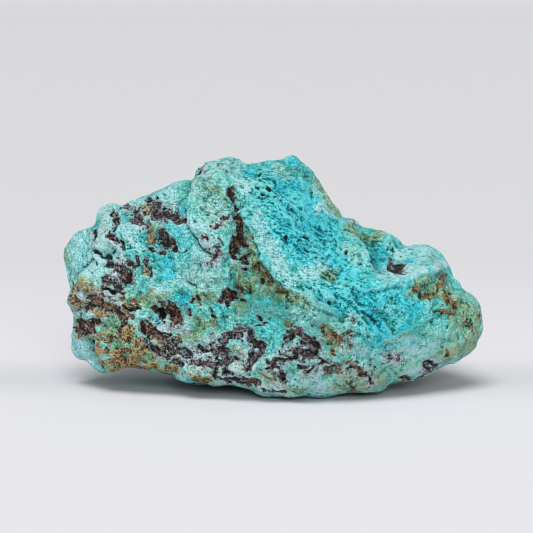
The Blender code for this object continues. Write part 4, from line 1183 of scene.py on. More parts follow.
@dataclass
class Crust:
    """The stone's crust: where each finish lies, and the fine relief that goes with it."""

    places: Array
    flat: Array
    frontness: Array
    facing: Array
    noise: Noise = Noise(11)
    wander: float = 0.4
    wander_size: float = 1.6
    streak: Triple = (0.78, 0.0, -0.62)
    streak_length: float = 2.4
    plain_ground: tuple[Layer, ...] = (
        Layer(Grain.CHIPS, 0.42, 3.2, 900, sharpness=26.0),
        Layer(Grain.CHIPS, 0.26, 1.6, 910, sharpness=22.0),
        Layer(Grain.FOAM, 0.30, 1.3, 920),
        Layer(Grain.DOMES, 0.34, 3.6, 925),
    )
    gritty_ground: tuple[Layer, ...] = (
        Layer(Grain.CHIPS, 0.34, 2.6, 930, drawn_out=True),
        Layer(Grain.FOAM, 0.70, 1.2, 940, drawn_out=True),
        Layer(Grain.DOMES, 0.85, 3.0, 950),
        Layer(Grain.DOMES, 0.60, 1.7, 955, drawn_out=True),
    )
    held_rise: Pair = (0.4, 0.6)
    grit_rise: Pair = (0.3, 0.7)
    pale_rise: Pair = (0.35, 0.75)
    speckle_height: float = 0.10
    speckle_size: float = 1.0
    pale_calm: float = 0.5
    side_share: float = 0.5
    matrix_depth: float = 0.45
    ochre_depth: float = 0.15
    pit_depth: float = 0.7
    crest_height: float = 0.15
    crest_width: float = 0.5
    crest_reach: float = 4.0
    scarp_width: float = 1.4
    scarp_side: Pair = (0.1, -0.3)
    stain_side: Pair = (-0.1, 0.3)
    stain_reach: Pair = (3.2, 2.0)
    crack_depth: float = 0.3
    crack_width: float = 0.35
    crack_reach: float = 2.0

    def __post_init__(self) -> None:
        """Lets the patches' lines wander a little, and finds the broken edges."""
        moved = [self.noise.fractal(self.places, self.wander_size, 2, salt) for salt in (31, 37)]
        self.plan = self.flat + self.wander * np.column_stack(moved)
        self.crest, self.drop = self.scarps()

    def fields(self) -> dict[str, Array]:
        """The fields of every finish.

        Returns:
            Each field by the name of its attribute. Olive and rust are kept off the high side
            of the first two scarps, the crest and the ledge; along the crest the olive on the low
            side is painted shade.
        """
        found = {name: cover.field(self) for name, cover in COVERS.items()}
        found["cracks"], found["crest"] = self.cracks(), self.crest
        for _, line in STAIN_AND_SHADE_SCARPS:
            high = smooth_step(*self.stain_side, side_of_line(self.plan, line))
            high *= smooth_step(*self.stain_reach, distance_to_line(self.plan, line))
            for name in ("olive", "rust"):
                found[name] = np.maximum(found[name] - high * self.frontness, Cover.least)
        return found

    def scarps(self) -> tuple[Array, Array]:
        """The broken edges of the front.

        Returns:
            How far each point is from the nearest edge, up to the crest's reach, and how far
            the ground has dropped there: a bell curve on the low side of the edge.
        """
        nearest, drop = np.full(len(self.plan), self.crest_reach), np.zeros(len(self.plan))
        for depth, line in SCARPS:
            away = distance_to_line(self.plan, line)
            low = smooth_step(*self.scarp_side, side_of_line(self.plan, line))
            drop = np.maximum(drop, depth * low * bell(away, self.scarp_width))
            nearest = np.minimum(nearest, away)
        behind = (self.crest_reach - nearest) * (1 - self.frontness)
        return nearest + behind, drop * self.frontness

    def cracks(self) -> Array:
        """The hairline cracks of the front.

        Returns:
            How far each point is from a crack, in millimetres, up to the cracks' reach.
        """
        nearest = np.full(len(self.plan), self.crack_reach)
        moved = (self.flat + self.plan) / 2
        for line in CRACKS:
            nearest = np.minimum(nearest, distance_to_line(moved, line))
        return nearest + (self.crack_reach - nearest) * (1 - self.frontness)

    def piled(self, layers: Sequence[Layer]) -> Array:
        """Layers of relief, added up.

        Args:
            layers: The layers; those that are drawn out are looked up at places pressed
                together along the streaks.

        Returns:
            The height at each point, in millimetres.
        """
        along = np.array(self.streak) / np.linalg.norm(self.streak)
        pressed = (1 - 1 / self.streak_length) * np.outer(self.places @ along, along)
        total = np.zeros(len(self.places))
        for layer in layers:
            total += layer.at(self.places - layer.drawn_out * pressed, self.noise)
        return total

    def relief(self, fields: dict[str, Array]) -> Array:
        """How far the fine crust stands out, in millimetres.

        It is the plain ground's layers, or the gritty ground's, and a speckle; less of all on
        pale ground and near the rim; a step down to the matrix, the ochre and the pits; a low
        bead along the broken edges and the drop beside them; and a bell-shaped groove at each
        crack.

        Args:
            fields: The finishes' fields.

        Returns:
            The height at each point.
        """
        held = {name: smooth_step(*self.held_rise, values) for name, values in fields.items()}
        plain, gritty = self.piled(self.plain_ground), self.piled(self.gritty_ground)
        height = plain + smooth_step(*self.grit_rise, fields["grit"]) * (gritty - plain)
        height += self.speckle_height * self.noise.fractal(self.places, self.speckle_size, 2, 970)
        height *= 1 - self.pale_calm * smooth_step(*self.pale_rise, fields["pale"])
        height *= self.side_share + (1 - self.side_share) * self.facing
        height -= self.matrix_depth * held["matrix"] * (1 - held["islands"])
        height -= self.ochre_depth * held["ochre"] + self.pit_depth * held["pits"]
        height += self.crest_height * bell(self.crest, self.crest_width)
        return height - self.drop - self.crack_depth * bell(fields["cracks"], self.crack_width)

# -------------------------------------------------------------------- nodes and their groups


class Ease(Enum):
    """How a value is mapped between two limits."""

    STRAIGHT = "LINEAR"
    SMOOTH = "SMOOTHSTEP"


def light(red: int, green: int, blue: int) -> Paint:
    """A colour as it looks on a screen, as linear light.

    Args:
        red: How red it is, from 0 to 255.
        green: How green.
        blue: How blue.

    Returns:
        Each share's power law, or its straight foot where it is small, and 1.
    """
    shares = [c / 255 for c in (red, green, blue)]
    r, g, b = (s / 12.92 if s <= 0.04045 else ((s + 0.055) / 1.055) ** 2.4 for s in shares)
    return r, g, b, 1.0


@dataclass
class Bench:
    """A node tree and short ways to put nodes in it."""

    tree: bpy.types.NodeTree

    def feed(self, node: bpy.types.Node, inputs: dict[Any, Any]) -> None:
        """Fills a node's inputs.

        Args:
            node: The node.
            inputs: By name or number: a socket, an attribute's name, or a plain value.
        """
        for name, value in inputs.items():
            given = self.held(value) if isinstance(value, str) else value
            if isinstance(given, Socket):
                self.tree.links.new(given, node.inputs[name])
            else:
                node.inputs[name].default_value = given

    def node(self, kind: str, inputs: dict[Any, Any], **settings: Any) -> bpy.types.Node:
        """Adds a node.

        Args:
            kind: Its class.
            inputs: What it is fed.
            settings: Its own settings.

        Returns:
            The node.
        """
        made = self.tree.nodes.new(kind)
        for name, value in settings.items():
            setattr(made, name, value)
        self.feed(made, inputs)
        return made

    def group(self, tree: bpy.types.NodeTree, inputs: dict[str, Any]) -> Any:
        """Places a node group with its own values, and gives its outputs."""
        return self.node("ShaderNodeGroup", inputs, node_tree=tree).outputs

    def held(self, name: str) -> Socket:
        """An attribute of the surface."""
        return self.node("ShaderNodeAttribute", {}, attribute_name=name).outputs["Fac"]

    def place(self) -> Socket:
        """Object coordinates."""
        return self.node("ShaderNodeTexCoord", {}).outputs["Object"]

    def give(self, kind: str, outputs: dict[str, Socket]) -> bpy.types.NodeTree:
        """Finishes a node group.

        Args:
            kind: What its outputs carry.
            outputs: What feeds each, by the output's name.

        Returns:
            The group.
        """
        for title in outputs:
            self.tree.interface.new_socket(title, in_out="OUTPUT", socket_type=kind)
        self.feed(self.tree.nodes.new("NodeGroupOutput"), outputs)
        return self.tree

    def math(self, operation: str, *values: Any, clamp: bool = False) -> Socket:
        """One sum, product or other operation."""
        inputs = dict(enumerate(values))
        return self.node("ShaderNodeMath", inputs, operation=operation, use_clamp=clamp).outputs[0]

    def total(self, start: Any, *terms: tuple[Any, float]) -> Socket:
        """A weighted sum.

        Args:
            start: What it starts from.
            terms: What is added, each with its weight.

        Returns:
            Start and each term times its weight, added up.
        """
        for term, weight in terms:
            start = self.math("MULTIPLY_ADD", term, weight, start)
        return start

    def mapped(self, value: Any, low: Any, high: Any, ease: Ease = Ease.SMOOTH) -> Socket:
        """0 below low, 1 above high, eased between."""
        inputs = {0: value, 1: low, 2: high}
        return self.node("ShaderNodeMapRange", inputs, interpolation_type=ease.value).outputs[0]

    def mixed(self, share: Any, first: Any, second: Any) -> Socket:
        """A colour between two, by the share of the second."""
        inputs = {0: share, 6: first, 7: second}
        return self.node("ShaderNodeMix", inputs, data_type="RGBA").outputs[2]

    def noise(self, place: Socket, size: float, detail: float, rough: float) -> Socket:
        """Noise of a size in millimetres, from 0 to 1."""
        inputs = {"Vector": place, "Scale": 1 / (size * MM), "Detail": detail, "Roughness": rough}
        return self.node("ShaderNodeTexNoise", inputs).outputs[0]


def new_group(name: str, inputs: dict[str, str]) -> tuple[Bench, Any]:
    """Starts a node group.

    Args:
        name: The group's name.
        inputs: What each input carries, by the input's name.

    Returns:
        A bench on the group's tree, and the sockets that come in.
    """
    tree = bpy.data.node_groups.new(name, "ShaderNodeTree")
    for title, kind in inputs.items():
        tree.interface.new_socket(title, in_out="INPUT", socket_type=kind)
    return Bench(tree), tree.nodes.new("NodeGroupInput").outputs


FLOAT, COLOUR, VECTOR = "NodeSocketFloat", "NodeSocketColor", "NodeSocketVector"
RIM_BAND = (0.28, 0.44)


def ragged_edge() -> bpy.types.NodeTree:
    """The group that cuts a field at one half along a ragged edge.

    Returns:
        A group from Field, Grain, Ragged and Soft to Mask and Rim. Mask is an eased rise of
        width Soft round one half of Field plus Ragged times Grain less one half. Rim is a band
        just outside it.
    """
    inputs = dict.fromkeys(("Field", "Grain", "Ragged", "Soft"), FLOAT)
    bench, into = new_group("ragged edge", inputs)
    off = bench.math("SUBTRACT", into["Grain"], 0.5)
    moved = bench.math("MULTIPLY_ADD", off, into["Ragged"], into["Field"])
    low = bench.math("SUBTRACT", 0.5, into["Soft"])
    high = bench.math("ADD", 0.5, into["Soft"])
    mask = bench.mapped(moved, low, high)
    around = bench.mapped(moved, *RIM_BAND)
    rim = bench.math("SUBTRACT", around, mask, clamp=True)
    return bench.give(FLOAT, {"Mask": mask, "Rim": rim})


def ladder() -> bpy.types.NodeTree:
    """The group that goes from a deep colour through a middle one to a light one.

    Returns:
        A group from Tone, Deep, Middle and Light to Color: Deep at 0, Middle at one half and
        Light at 1.
    """
    inputs = {"Tone": FLOAT, "Deep": COLOUR, "Middle": COLOUR, "Light": COLOUR}
    bench, into = new_group("ladder", inputs)
    lower = bench.mapped(into["Tone"], 0.0, 0.5, Ease.STRAIGHT)
    upper = bench.mapped(into["Tone"], 0.5, 1.0, Ease.STRAIGHT)
    first = bench.mixed(lower, into["Deep"], into["Middle"])
    return bench.give(COLOUR, {"Color": bench.mixed(upper, first, into["Light"])})


@dataclass(frozen=True)
class Foam:
    """Small hollows between thin ridges: their size in millimetres, and how bent they are."""

    size: float
    bend: float = 0.6

    def build(self, bench: Bench, place: Socket) -> tuple[Socket, Socket]:
        """Adds the hollows to a bench.

        Args:
            bench: Where.
            place: The vector that they follow.

        Returns:
            How far each point is from its hollow's middle, from 0 to about 1, and a number
            from 0 to 1 for each hollow.
        """
        wave = {"Vector": place, "Scale": 1 / (self.size * MM), "Detail": 1.0}
        bent = bench.node("ShaderNodeTexNoise", wave).outputs["Color"]
        scaled = {0: bent, "Scale": 2 * self.bend * self.size * MM}
        off = bench.node("ShaderNodeVectorMath", scaled, operation="SCALE").outputs[0]
        moved = bench.node("ShaderNodeVectorMath", {0: place, 1: off}, operation="ADD").outputs[0]
        seeds = {"Vector": moved, "Scale": 1 / (self.size * MM), "Randomness": 1.0}
        cells = bench.node("ShaderNodeTexVoronoi", seeds).outputs
        chance = bench.node("ShaderNodeSeparateColor", {0: cells["Color"]}).outputs[0]
        return cells["Distance"], chance


@dataclass(frozen=True)
class Crumbs:
    """The crumbly grain: four sizes of noise, streaks, hollows and specks.

    A noise is its size in millimetres, its detail and its roughness. The streaks are noise
    that is turned and drawn out.
    """

    noises: tuple[tuple[str, Triple], ...] = (
        ("Broad", (4.5, 2.0, 0.5)),
        ("Middle", (1.6, 2.0, 0.55)),
        ("Fine", (0.62, 2.0, 0.6)),
        ("Tiny", (0.28, 1.0, 0.5)),
    )
    foam: Foam = Foam(0.85)
    froth: Foam = Foam(0.42)
    streak: Triple = (0.7, 2.0, 0.6)
    streak_turn: Triple = (0.0, math.radians(38.0), 0.0)
    streak_scale: Triple = (3.6, 1.0, 1.0)
    speck_reach: Pair = (1.3, -0.9)
    speck_soft: float = 0.06

    def build(self) -> bpy.types.NodeTree:
        """Builds the group.

        Returns:
            A group from Vector to the grains, each from 0 to about 1: Broad, Middle, Fine and
            Tiny; Foam and Froth, low in small hollows and high on the ridges between them;
            Streak; Broken, Blend and Drift, which are sums of others; and Speck, which is 1 in
            the middle of some of the hollows.
        """
        bench, into = new_group("crumbs", {"Vector": VECTOR})
        place = into["Vector"]
        grain = {title: bench.noise(place, *shape) for title, shape in self.noises}
        grain["Foam"], chance = self.foam.build(bench, place)
        grain["Froth"], chip = self.froth.build(bench, place)
        turned = {"Vector": place, "Rotation": self.streak_turn, "Scale": self.streak_scale}
        drawn = bench.node("ShaderNodeMapping", turned, vector_type="TEXTURE").outputs[0]
        grain["Streak"] = bench.noise(drawn, *self.streak)
        chips = bench.total(0.0, (chance, 0.5), (chip, 0.5))
        grain["Broken"] = bench.total(0.0, (grain["Fine"], 0.6), (chips, 0.4))
        grain["Blend"] = bench.total(0.0, (grain["Middle"], 0.5), (grain["Fine"], 0.5))
        grain["Drift"] = bench.total(0.0, (grain["Middle"], 0.35), (grain["Streak"], 0.65))
        reach = bench.math("MULTIPLY_ADD", chance, *self.speck_reach)
        inside = bench.math("SUBTRACT", reach, grain["Foam"])
        grain["Speck"] = bench.mapped(inside, -self.speck_soft, self.speck_soft)
        return bench.give(FLOAT, grain)


# ------------------------------------------------------------------------------ the finish


@dataclass(frozen=True)
class Tones:
    """Three colours of one finish, from its hollows to its high points, partly as painted shade."""

    deep: Shade
    middle: Shade
    high: Shade

    def sockets(self, tone: Socket) -> dict[str, Any]:
        """What goes to a ladder group."""
        deep, middle, high = (light(*shade) for shade in (self.deep, self.middle, self.high))
        return {"Tone": tone, "Deep": deep, "Middle": middle, "Light": high}


@dataclass(frozen=True)
class Wash:
    """A finish that lies over those before it, where its cover is above one half.

    Its edge is made ragged by a grain, and rises over twice the softness. A stain also has an
    olive rim, and goes by the rock's own tone plus its lift.
    """

    cover: str
    tones: Tones
    grain: str
    ragged: float
    soft: float
    share: float = 1.0
    lift: float = 0.0


@dataclass
class CrustBench(Bench):
    """A bench on the crust's material, with the groups at hand."""

    def __post_init__(self) -> None:
        """Builds the groups, and places the grain."""
        self.edge, self.steps = ragged_edge(), ladder()
        self.grain = self.group(Crumbs().build(), {"Vector": self.place()})

    def held(self, name: str) -> Socket:
        """One of the crumbs' grains, or else an attribute of the surface."""
        return self.grain[name] if name in self.grain else super().held(name)

    def cut(self, cover: Any, grain: str, ragged: float, soft: float) -> Any:
        """Mask and Rim of a cover, cut along an edge that a grain makes ragged, over a softness."""
        inputs = {"Field": cover, "Grain": grain, "Ragged": ragged, "Soft": soft}
        return self.group(self.edge, inputs)

    def shade(self, tones: Tones, tone: Socket) -> Socket:
        """A finish's colour at a tone."""
        return self.group(self.steps, tones.sockets(tone))["Color"]

    def laid(self, colour: Socket, mask: Socket, share: float, over: Any) -> Socket:
        """A colour with a share of another laid over it, where a mask is."""
        return self.mixed(self.math("MULTIPLY", mask, share), colour, over)


def new_material(name: str) -> tuple[bpy.types.Material, bpy.types.Node]:
    """A new material.

    Args:
        name: Its name.

    Returns:
        The material and its Principled BSDF.
    """
    material = bpy.data.materials.new(name)
    material.use_nodes = True
    return material, material.node_tree.nodes["Principled BSDF"]


@dataclass(frozen=True)
class CrustFinish:
    """The stone's finish: chalky turquoise crust, its stains, and the dark matrix.

    A weight is a grain's or an attribute's name, how much it counts, and its mean.
    """

    name: str = "chrysocolla crust"
    turquoise: Tones = Tones((6, 96, 100), (66, 204, 202), (152, 244, 242))
    mint: Tones = Tones((16, 100, 90), (100, 206, 188), (184, 248, 232))
    azure: Tones = Tones((2, 108, 120), (20, 206, 224), (108, 240, 246))
    pale: Tones = Tones((46, 146, 150), (136, 223, 223), (208, 251, 253))
    chalk: Tones = Tones((40, 112, 108), (114, 188, 182), (188, 240, 234))
    olive: Tones = Tones((40, 76, 48), (108, 156, 112), (184, 210, 164))
    rust: Tones = Tones((38, 28, 17), (90, 67, 40), (164, 136, 90))
    ochre: Tones = Tones((58, 42, 25), (114, 89, 54), (204, 178, 128))
    matrix: Tones = Tones((20, 14, 13), (66, 49, 46), (152, 143, 150))
    umber: Tones = Tones((28, 17, 12), (80, 56, 42), (156, 124, 100))
    dust: Tones = Tones((72, 74, 92), (156, 176, 190), (232, 246, 250))
    # The pale rim round the matrix, its own colour; along the broken edges it is also laid as a
    # painted highlight.
    rim: Paint = light(196, 240, 236)
    shadow: Paint = light(14, 26, 27)
    weights: tuple[tuple[str, float, float], ...] = (
        ("Broad", 0.7, 0.5), ("Middle", 0.6, 0.5), ("Fine", 0.9, 0.5), ("Tiny", 2.3, 0.5),
        # The hollow attribute is painted shade: the tone is darker in hollows and paler on high
        # points.
        ("hollow", 1.2, 0.5), ("Foam", 0.7, 0.45), ("Froth", 0.7, 0.45), ("Streak", 0.9, 0.5),
    )
    plain_level: float = 0.545
    crust_level: float = 0.57
    matrix_level: float = -0.72
    rugged_band: Pair = (0.35, 0.6)
    edge_highlight_band: Pair = (1.15, 0.85)
    edge_highlight_share: float = 0.4
    stain_rim_share: float = 0.5
    rim_share: float = 0.45
    crack_band: Pair = (0.36, 0.24)
    speck_band: Pair = (0.46, 0.56)
    speck_share: float = 0.8
    gap_share: float = 0.9
    bump_depth: float = 1.3
    roughness: float = 0.78
    specular: float = 0.35

    def build(self) -> bpy.types.Material:
        """Builds the material.

        Returns:
            A material whose colours are ladders of tone, laid over each other by ragged masks,
            and whose bump follows the same grain, so that light grains stand up. Its colour holds
            painted shade in hollows, pits and cracks, painted light and shade in placed patches,
            and a painted highlight along the broken edges.
        """
        material, shader = new_material(self.name)
        bench = CrustBench(material.node_tree)
        start = self.plain_level - sum(weight * mean for _, weight, mean in self.weights)
        plain = bench.total(start, *((name, weight) for name, weight, _ in self.weights))
        tone = self.tone(bench, plain)
        colour = self.stained(bench, self.washed(bench, tone), plain, tone)
        colour, matrix = self.bared(bench, colour, plain)
        # Painted highlight: the rim colour laid thinly along the broken edges.
        edge_highlight = bench.total("crest", ("Fine", 1.2), ("Middle", 0.8))
        edge_highlight = bench.mapped(edge_highlight, *self.edge_highlight_band)
        colour = bench.laid(colour, edge_highlight, self.edge_highlight_share, self.rim)
        # Painted shadow, near black, in pits, cracks and specks.
        painted_gap_shadow = self.painted_gap_shadow(bench)
        colour = bench.laid(colour, painted_gap_shadow, self.gap_share, self.shadow)
        height = bench.total(0.0, ("Middle", 0.6), ("Fine", 0.8), ("Tiny", 0.5), ("Foam", 0.5),
                             ("Froth", 0.3), ("Streak", 0.7), (matrix, -0.4), (painted_gap_shadow, -0.5))
        relief = {"Height": height, "Distance": self.bump_depth * MM, "Strength": 1.0}
        bench.feed(shader, {
            "Base Color": colour,
            "Normal": bench.node("ShaderNodeBump", relief).outputs[0],
            "Roughness": bench.total(self.roughness, ("Fine", 0.2), (matrix, -0.12)),
            "Specular IOR Level": self.specular,
        })
        return material

    def tone(self, bench: CrustBench, plain: Socket) -> Socket:
        """How light the crust is.

        Args:
            bench: Where.
            plain: The plain grain, about one half on the whole.

        Returns:
            How far the grain, which holds painted shade in hollows, is from one half, more where
            the ground is rugged or busy and less where it is calm, and lower in the deep patches,
            which are painted shade; over a level that is raised where light is painted and lowered
            where shade is painted.
        """
        coarse = bench.total(0.0, ("Broad", 0.7), ("grit", 0.3))
        rugged = bench.mapped(coarse, *self.rugged_band)
        calm, busy = (bench.cut(k, "Middle", 1.2, 0.3)["Mask"] for k in ("calm", "busy"))
        strength = bench.total(0.6, (rugged, 0.75), (calm, -0.45), (busy, 0.4))
        # Painted light and painted shade: patches that raise or lower the level of the tone.
        painted_light, painted_shade = (bench.cut(k, "Middle", 1.6, 0.4)["Mask"] for k in ("painted_light", "painted_shade"))
        level = bench.total(self.crust_level, (rugged, -0.1), (painted_light, 0.15), (painted_shade, -0.09))
        # The deep patches are painted shade: they lower the tone in hollows.
        hollow_shade_mask = bench.cut("deep", "Middle", 1.6, 0.3)["Mask"]
        off = bench.total(-0.5, (plain, 1.0), (hollow_shade_mask, -0.32))
        return bench.math("MULTIPLY_ADD", off, strength, level)

    def washed(self, bench: CrustBench, tone: Socket) -> Socket:
        """The crust's colour, with its bluer, greener, paler, greyer and stained parts.

        Args:
            bench: Where.
            tone: How light the crust is.

        Returns:
            The turquoise with each wash laid over it.
        """
        colour = bench.shade(self.turquoise, tone)
        for wash in (
            Wash("mint", self.mint, "Blend", 2.6, 0.5),
            Wash("azure", self.azure, "Drift", 4.4, 0.35),
            # Pale crust, and painted light along the bottom.
            Wash("pale", self.pale, "Blend", 2.6, 0.3),
            Wash("chalk", self.chalk, "Blend", 2.2, 0.35, 0.8),
            # Olive stains, and painted shade along the crest's low side.
            Wash("olive", self.olive, "Blend", 3.0, 0.3, 0.85),
            Wash("dust", self.dust, "Fine", 2.0, 0.15, 0.7),
        ):
            mask = bench.cut(wash.cover, wash.grain, wash.ragged, wash.soft)["Mask"]
            colour = bench.laid(colour, mask, wash.share, bench.shade(wash.tones, tone))
        return colour

    def stained(self, bench: CrustBench, colour: Socket, plain: Socket, tone: Socket) -> Socket:
        """Lays on the ochre, which green crumbs break up, and the rust.

        Args:
            bench: Where.
            colour: The crust's colour.
            plain: The plain grain.
            tone: How light the crust is.

        Returns:
            The colour with each stain and its olive rim laid over it.
        """
        greens = bench.cut("greens", "Fine", 1.4, 0.2)["Mask"]
        covers = {"ochre": bench.total("ochre", (greens, -0.6)), "rust": "rust"}
        brown = bench.total(plain, ("Tiny", 0.4), ("Broad", 0.8), ("Speck", -0.3))
        for stain in (
            Wash("ochre", self.ochre, "Blend", 3.8, 0.08, lift=-0.6),
            Wash("rust", self.rust, "Fine", 2.4, 0.12, lift=-0.72),
        ):
            edge = bench.cut(covers[stain.cover], stain.grain, stain.ragged, stain.soft)
            olive = bench.shade(self.olive, tone)
            colour = bench.laid(colour, edge["Rim"], self.stain_rim_share, olive)
            shade = bench.shade(stain.tones, bench.math("ADD", brown, stain.lift))
            colour = bench.laid(colour, edge["Mask"], stain.share, shade)
        return colour

    def bared(self, bench: CrustBench, colour: Socket, plain: Socket) -> tuple[Socket, Socket]:
        """Bares the dark matrix, with a pale rim round it and islands of crust in it.

        Args:
            bench: Where.
            colour: The crust's colour.
            plain: The plain grain.

        Returns:
            The colour, and the matrix's mask.
        """
        cover = bench.math("MAXIMUM", "matrix", bench.math("MULTIPLY", "dust", 0.5))
        edge = bench.cut(cover, "Broken", 1.7, 0.03)
        islands = bench.cut("islands", "Fine", 0.6, 0.08)["Mask"]
        matrix = bench.math("MULTIPLY", edge["Mask"], bench.math("SUBTRACT", 1.0, islands))
        colour = bench.laid(colour, edge["Rim"], self.rim_share, self.rim)
        dark = bench.total(self.matrix_level, (plain, 1.1), ("Tiny", 0.6), ("Froth", 0.5))
        umber = bench.cut("umber", "Middle", 1.0, 0.2)["Mask"]
        stone = bench.mixed(umber, bench.shade(self.matrix, dark), bench.shade(self.umber, dark))
        return bench.mixed(matrix, colour, stone), matrix

    def painted_gap_shadow(self, bench: CrustBench) -> Socket:
        """Where shadow is painted on the crust: in pits, in cracks, and in specks on broad high
        ground.

        Args:
            bench: Where.

        Returns:
            The most of the three masks.
        """
        pit = bench.cut("pits", "Fine", 0.8, 0.1)["Mask"]
        crack = bench.mapped(bench.total("cracks", ("Fine", 0.3)), *self.crack_band)
        sparse = bench.math("MULTIPLY", "Speck", bench.mapped("Broad", *self.speck_band))
        specks = bench.math("MULTIPLY", sparse, self.speck_share)
        return bench.math("MAXIMUM", bench.math("MAXIMUM", pit, crack), specks)


@dataclass
class Stone:
    """The stone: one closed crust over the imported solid."""

    name: str = "chrysocolla_crust"
    node: str = "chrysocolla_stone"
    across: int = 128
    lean_forward: float = 0.28
    front_rise: Pair = (0.05, -0.15)
    settling: int = 8
    cavity_rounds: tuple[int, int] = (4, 30)
    cavity_depths: Pair = (0.12, 0.45)
    form: StoneForm = field(default_factory=StoneForm)
    plane: DrawingPlane = DrawingPlane()
    finish: CrustFinish = CrustFinish()

    def build(self) -> bpy.types.Object:
        """Makes the crust, dresses it, and puts it in the solid's place.

        Returns:
            The crust's object.
        """
        surface = Surface.cube_sphere(self.across, self.lean_forward)
        directions = surface.points
        laid, facing, plan = self.form.laid_out(directions)
        surface.points = self.plane.stood_up(laid)
        rough = self.form.roughness(laid, facing)[:, None] * surface.normals()
        surface.points = surface.blurred(surface.points + rough, self.settling)
        frontness = smooth_step(*self.front_rise, directions[:, 1])
        crust = Crust(surface.points, plan, frontness, facing)
        fields = crust.fields()
        surface.points = surface.points + crust.relief(fields)[:, None] * surface.normals()
        surface.points[:, 2] = np.maximum(surface.points[:, 2], 0)
        # Painted shade: the material darkens the crust by this in hollows and lightens it on high
        # points.
        fields["hollow"] = self.hollow_shading(surface)
        piece = surface.to_object(self.name, fields)
        piece.data.materials.append(self.finish.build())
        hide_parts(self.node)
        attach(piece, "root")
        return piece

    def hollow_shading(self, surface: Surface) -> Array:
        """How high each point stands against the surface around it, for painted shade in hollows.

        Args:
            surface: The finished surface.

        Returns:
            One half where it is level, less in hollows and more on high points: the height of
            the point over its blurred place, along the normal.
        """
        shares = np.zeros(len(surface.points))
        for rounds, depth in zip(self.cavity_rounds, self.cavity_depths):
            level = surface.blurred(surface.points, rounds)
            height = ((surface.points - level) * surface.normals()).sum(axis=1)
            shares += np.clip(height / depth, -1, 1)
        return np.clip(0.5 + shares / 4, 0, 1)


# ------------------------------------------------------------------------------- the studio


@dataclass(frozen=True)
class Paper:
    """The pale paper that the stone lies on: painted darker far off, as light falls off, and with
    a painted shadow beside the stone.

    A shade is where it is reached, in metres along Y, and its colour: painted falloff of light.
    """

    name: str = "pale paper"
    # Painted falloff of the light: the paper greys away from the camera along Y.
    falloff_shades: tuple[tuple[float, Shade], ...] = (
        (-0.04, (214, 214, 218)), (0.05, (212, 211, 216)), (0.11, (207, 207, 212)),
        (0.19, (203, 203, 206)), (0.65, (201, 201, 203)), (4.0, (198, 198, 201)),
    )
    # Painted shadow: a soft darker patch on the paper round the stone.
    painted_shadow: Paint = light(198, 199, 203)
    painted_shadow_place: Triple = (0.0, 0.007, 0.0)
    painted_shadow_reach: Triple = (0.2, 0.026, 1.0)
    roughness: float = 0.9

    def build(self) -> bpy.types.Material:
        """Builds the material.

        Returns:
            A material with steps of grey along Y, painted falloff of the light, and one soft darker
            patch, a painted shadow round the stone.
        """
        material, shader = new_material(self.name)
        bench = Bench(material.node_tree)
        place = bench.place()
        depth = bench.node("ShaderNodeSeparateXYZ", {0: place}).outputs[1]
        colour: Any = light(*self.falloff_shades[0][1])
        for (low, _), (high, shade) in zip(self.falloff_shades[:-1], self.falloff_shades[1:]):
            share = bench.mapped(depth, low, high, Ease.STRAIGHT)
            colour = bench.mixed(share, colour, light(*shade))
        centred = {"Vector": place, "Location": self.painted_shadow_place, "Scale": self.painted_shadow_reach}
        moved = bench.node("ShaderNodeMapping", centred, vector_type="TEXTURE").outputs[0]
        ball = bench.node("ShaderNodeTexGradient", {0: moved}, gradient_type="SPHERICAL").outputs[1]
        bench.feed(shader, {
            "Base Color": bench.mixed(bench.mapped(ball, 0.0, 1.0), colour, self.painted_shadow),
            "Roughness": self.roughness,
            "Specular IOR Level": 0.0,
        })
        return material


@dataclass(frozen=True)
class Lamp:
    """A far lamp, as wide in the sky as a large soft box."""

    name: str
    towards: Triple
    spread: float
    strength: float

    def build(self) -> bpy.types.Object:
        """Hangs the lamp.

        Returns:
            The lamp's object.
        """
        data = bpy.data.lights.new(self.name, "SUN")
        data.angle, data.energy = self.spread, self.strength
        lamp = placed(self.name, data)
        lamp.matrix_world = Vector(self.towards).to_track_quat("-Z", "Y").to_matrix().to_4x4()
        return lamp


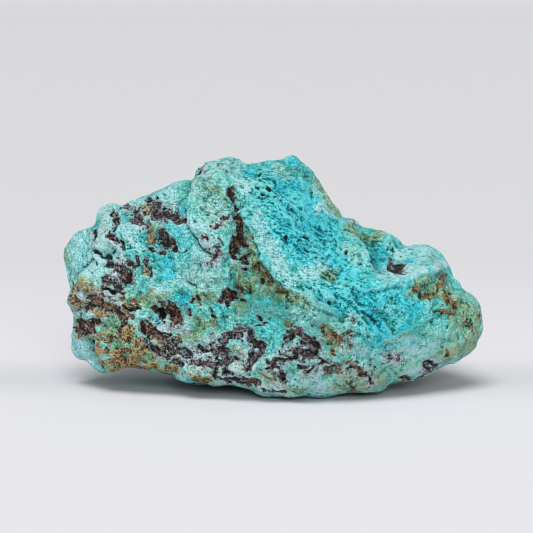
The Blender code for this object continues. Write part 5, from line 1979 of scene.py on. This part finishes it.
@dataclass
class Studio:
    """A pale floor with a round cove far off, soft light, and the camera."""

    plane: DrawingPlane = DrawingPlane()
    lens: float = 135.0
    sensor: float = 36.0
    nearest: float = 0.01
    floor_middle: float = 0.5
    floor_reach: float = 14.0
    cove: float = 1.5
    cove_steps: int = 9
    wall: float = 4.0
    sides: int = 64
    lamps: tuple[Lamp, ...] = (
        Lamp("key_light", (0.12, 0.4, -1.0), math.radians(34.0), 2.3),
        Lamp("fill_light", (-0.15, 1.0, -0.45), math.radians(22.0), 1.0),
    )
    sky: Paint = (1.0, 1.0, 1.0, 1.0)
    sky_strength: float = 0.4
    pixel_filter: float = 0.8
    paper: Paper = Paper()

    def camera(self) -> None:
        """Places the camera square to the drawing plane, and makes it the scene's own."""
        data = bpy.data.cameras.new("camera")
        data.lens, data.sensor_width, data.clip_start = self.lens, self.sensor, self.nearest
        camera = placed("camera", data)
        camera.matrix_world = self.plane.eye_place()
        bpy.context.scene.camera = camera

    def floor(self) -> None:
        """Makes the floor: a profile of a flat, a quarter turn and a wall, turned round Z."""
        turn = np.linspace(0, math.pi / 2, self.cove_steps)
        r = np.concatenate([[self.floor_middle], self.floor_reach + self.cove * np.sin(turn)])
        z = np.concatenate([[0.0], self.cove * (1 - np.cos(turn))])
        r, z = np.append(r, r[-1]), np.append(z, self.wall)
        n = self.sides
        around = np.linspace(0, 2 * math.pi, n, endpoint=False)
        x, y = np.outer(r, np.cos(around)), np.outer(r, np.sin(around))
        points = np.stack([x, y, np.repeat(z[:, None], n, axis=1)], -1).reshape(-1, 3)
        i, j = np.meshgrid(np.arange(len(r) - 1), np.arange(n), indexing="ij")
        ring = (j + 1) % n
        faces = np.stack([i * n + j, i * n + n + j, i * n + n + ring, i * n + ring], -1)
        mesh = bpy.data.meshes.new("studio_floor")
        mesh.from_pydata(points.tolist(), [], [*faces.reshape(-1, 4).tolist(), list(range(n))])
        mesh.shade_smooth()
        mesh.materials.append(self.paper.build())
        placed("studio_floor", mesh)

    def build(self) -> None:
        """Sets up the whole studio."""
        self.camera()
        self.floor()
        for lamp in self.lamps:
            lamp.build()
        scene = bpy.context.scene
        scene.world = bpy.data.worlds.new("studio")
        scene.world.use_nodes = True
        background = scene.world.node_tree.nodes["Background"]
        background.inputs["Color"].default_value = self.sky
        background.inputs["Strength"].default_value = self.sky_strength
        scene.view_settings.view_transform = "Standard"
        scene.cycles.filter_width = self.pixel_filter


def main() -> None:
    """Builds the studio and the stone, and reports each piece."""
    logging.basicConfig(level=logging.INFO, format="%(message)s")
    Studio().build()
    LOG.info("studio: floor, camera and lights")
    crust = Stone().build()
    LOG.info("%s: %d faces", crust.name, len(crust.data.polygons))


if __name__ == "__main__":
    main()
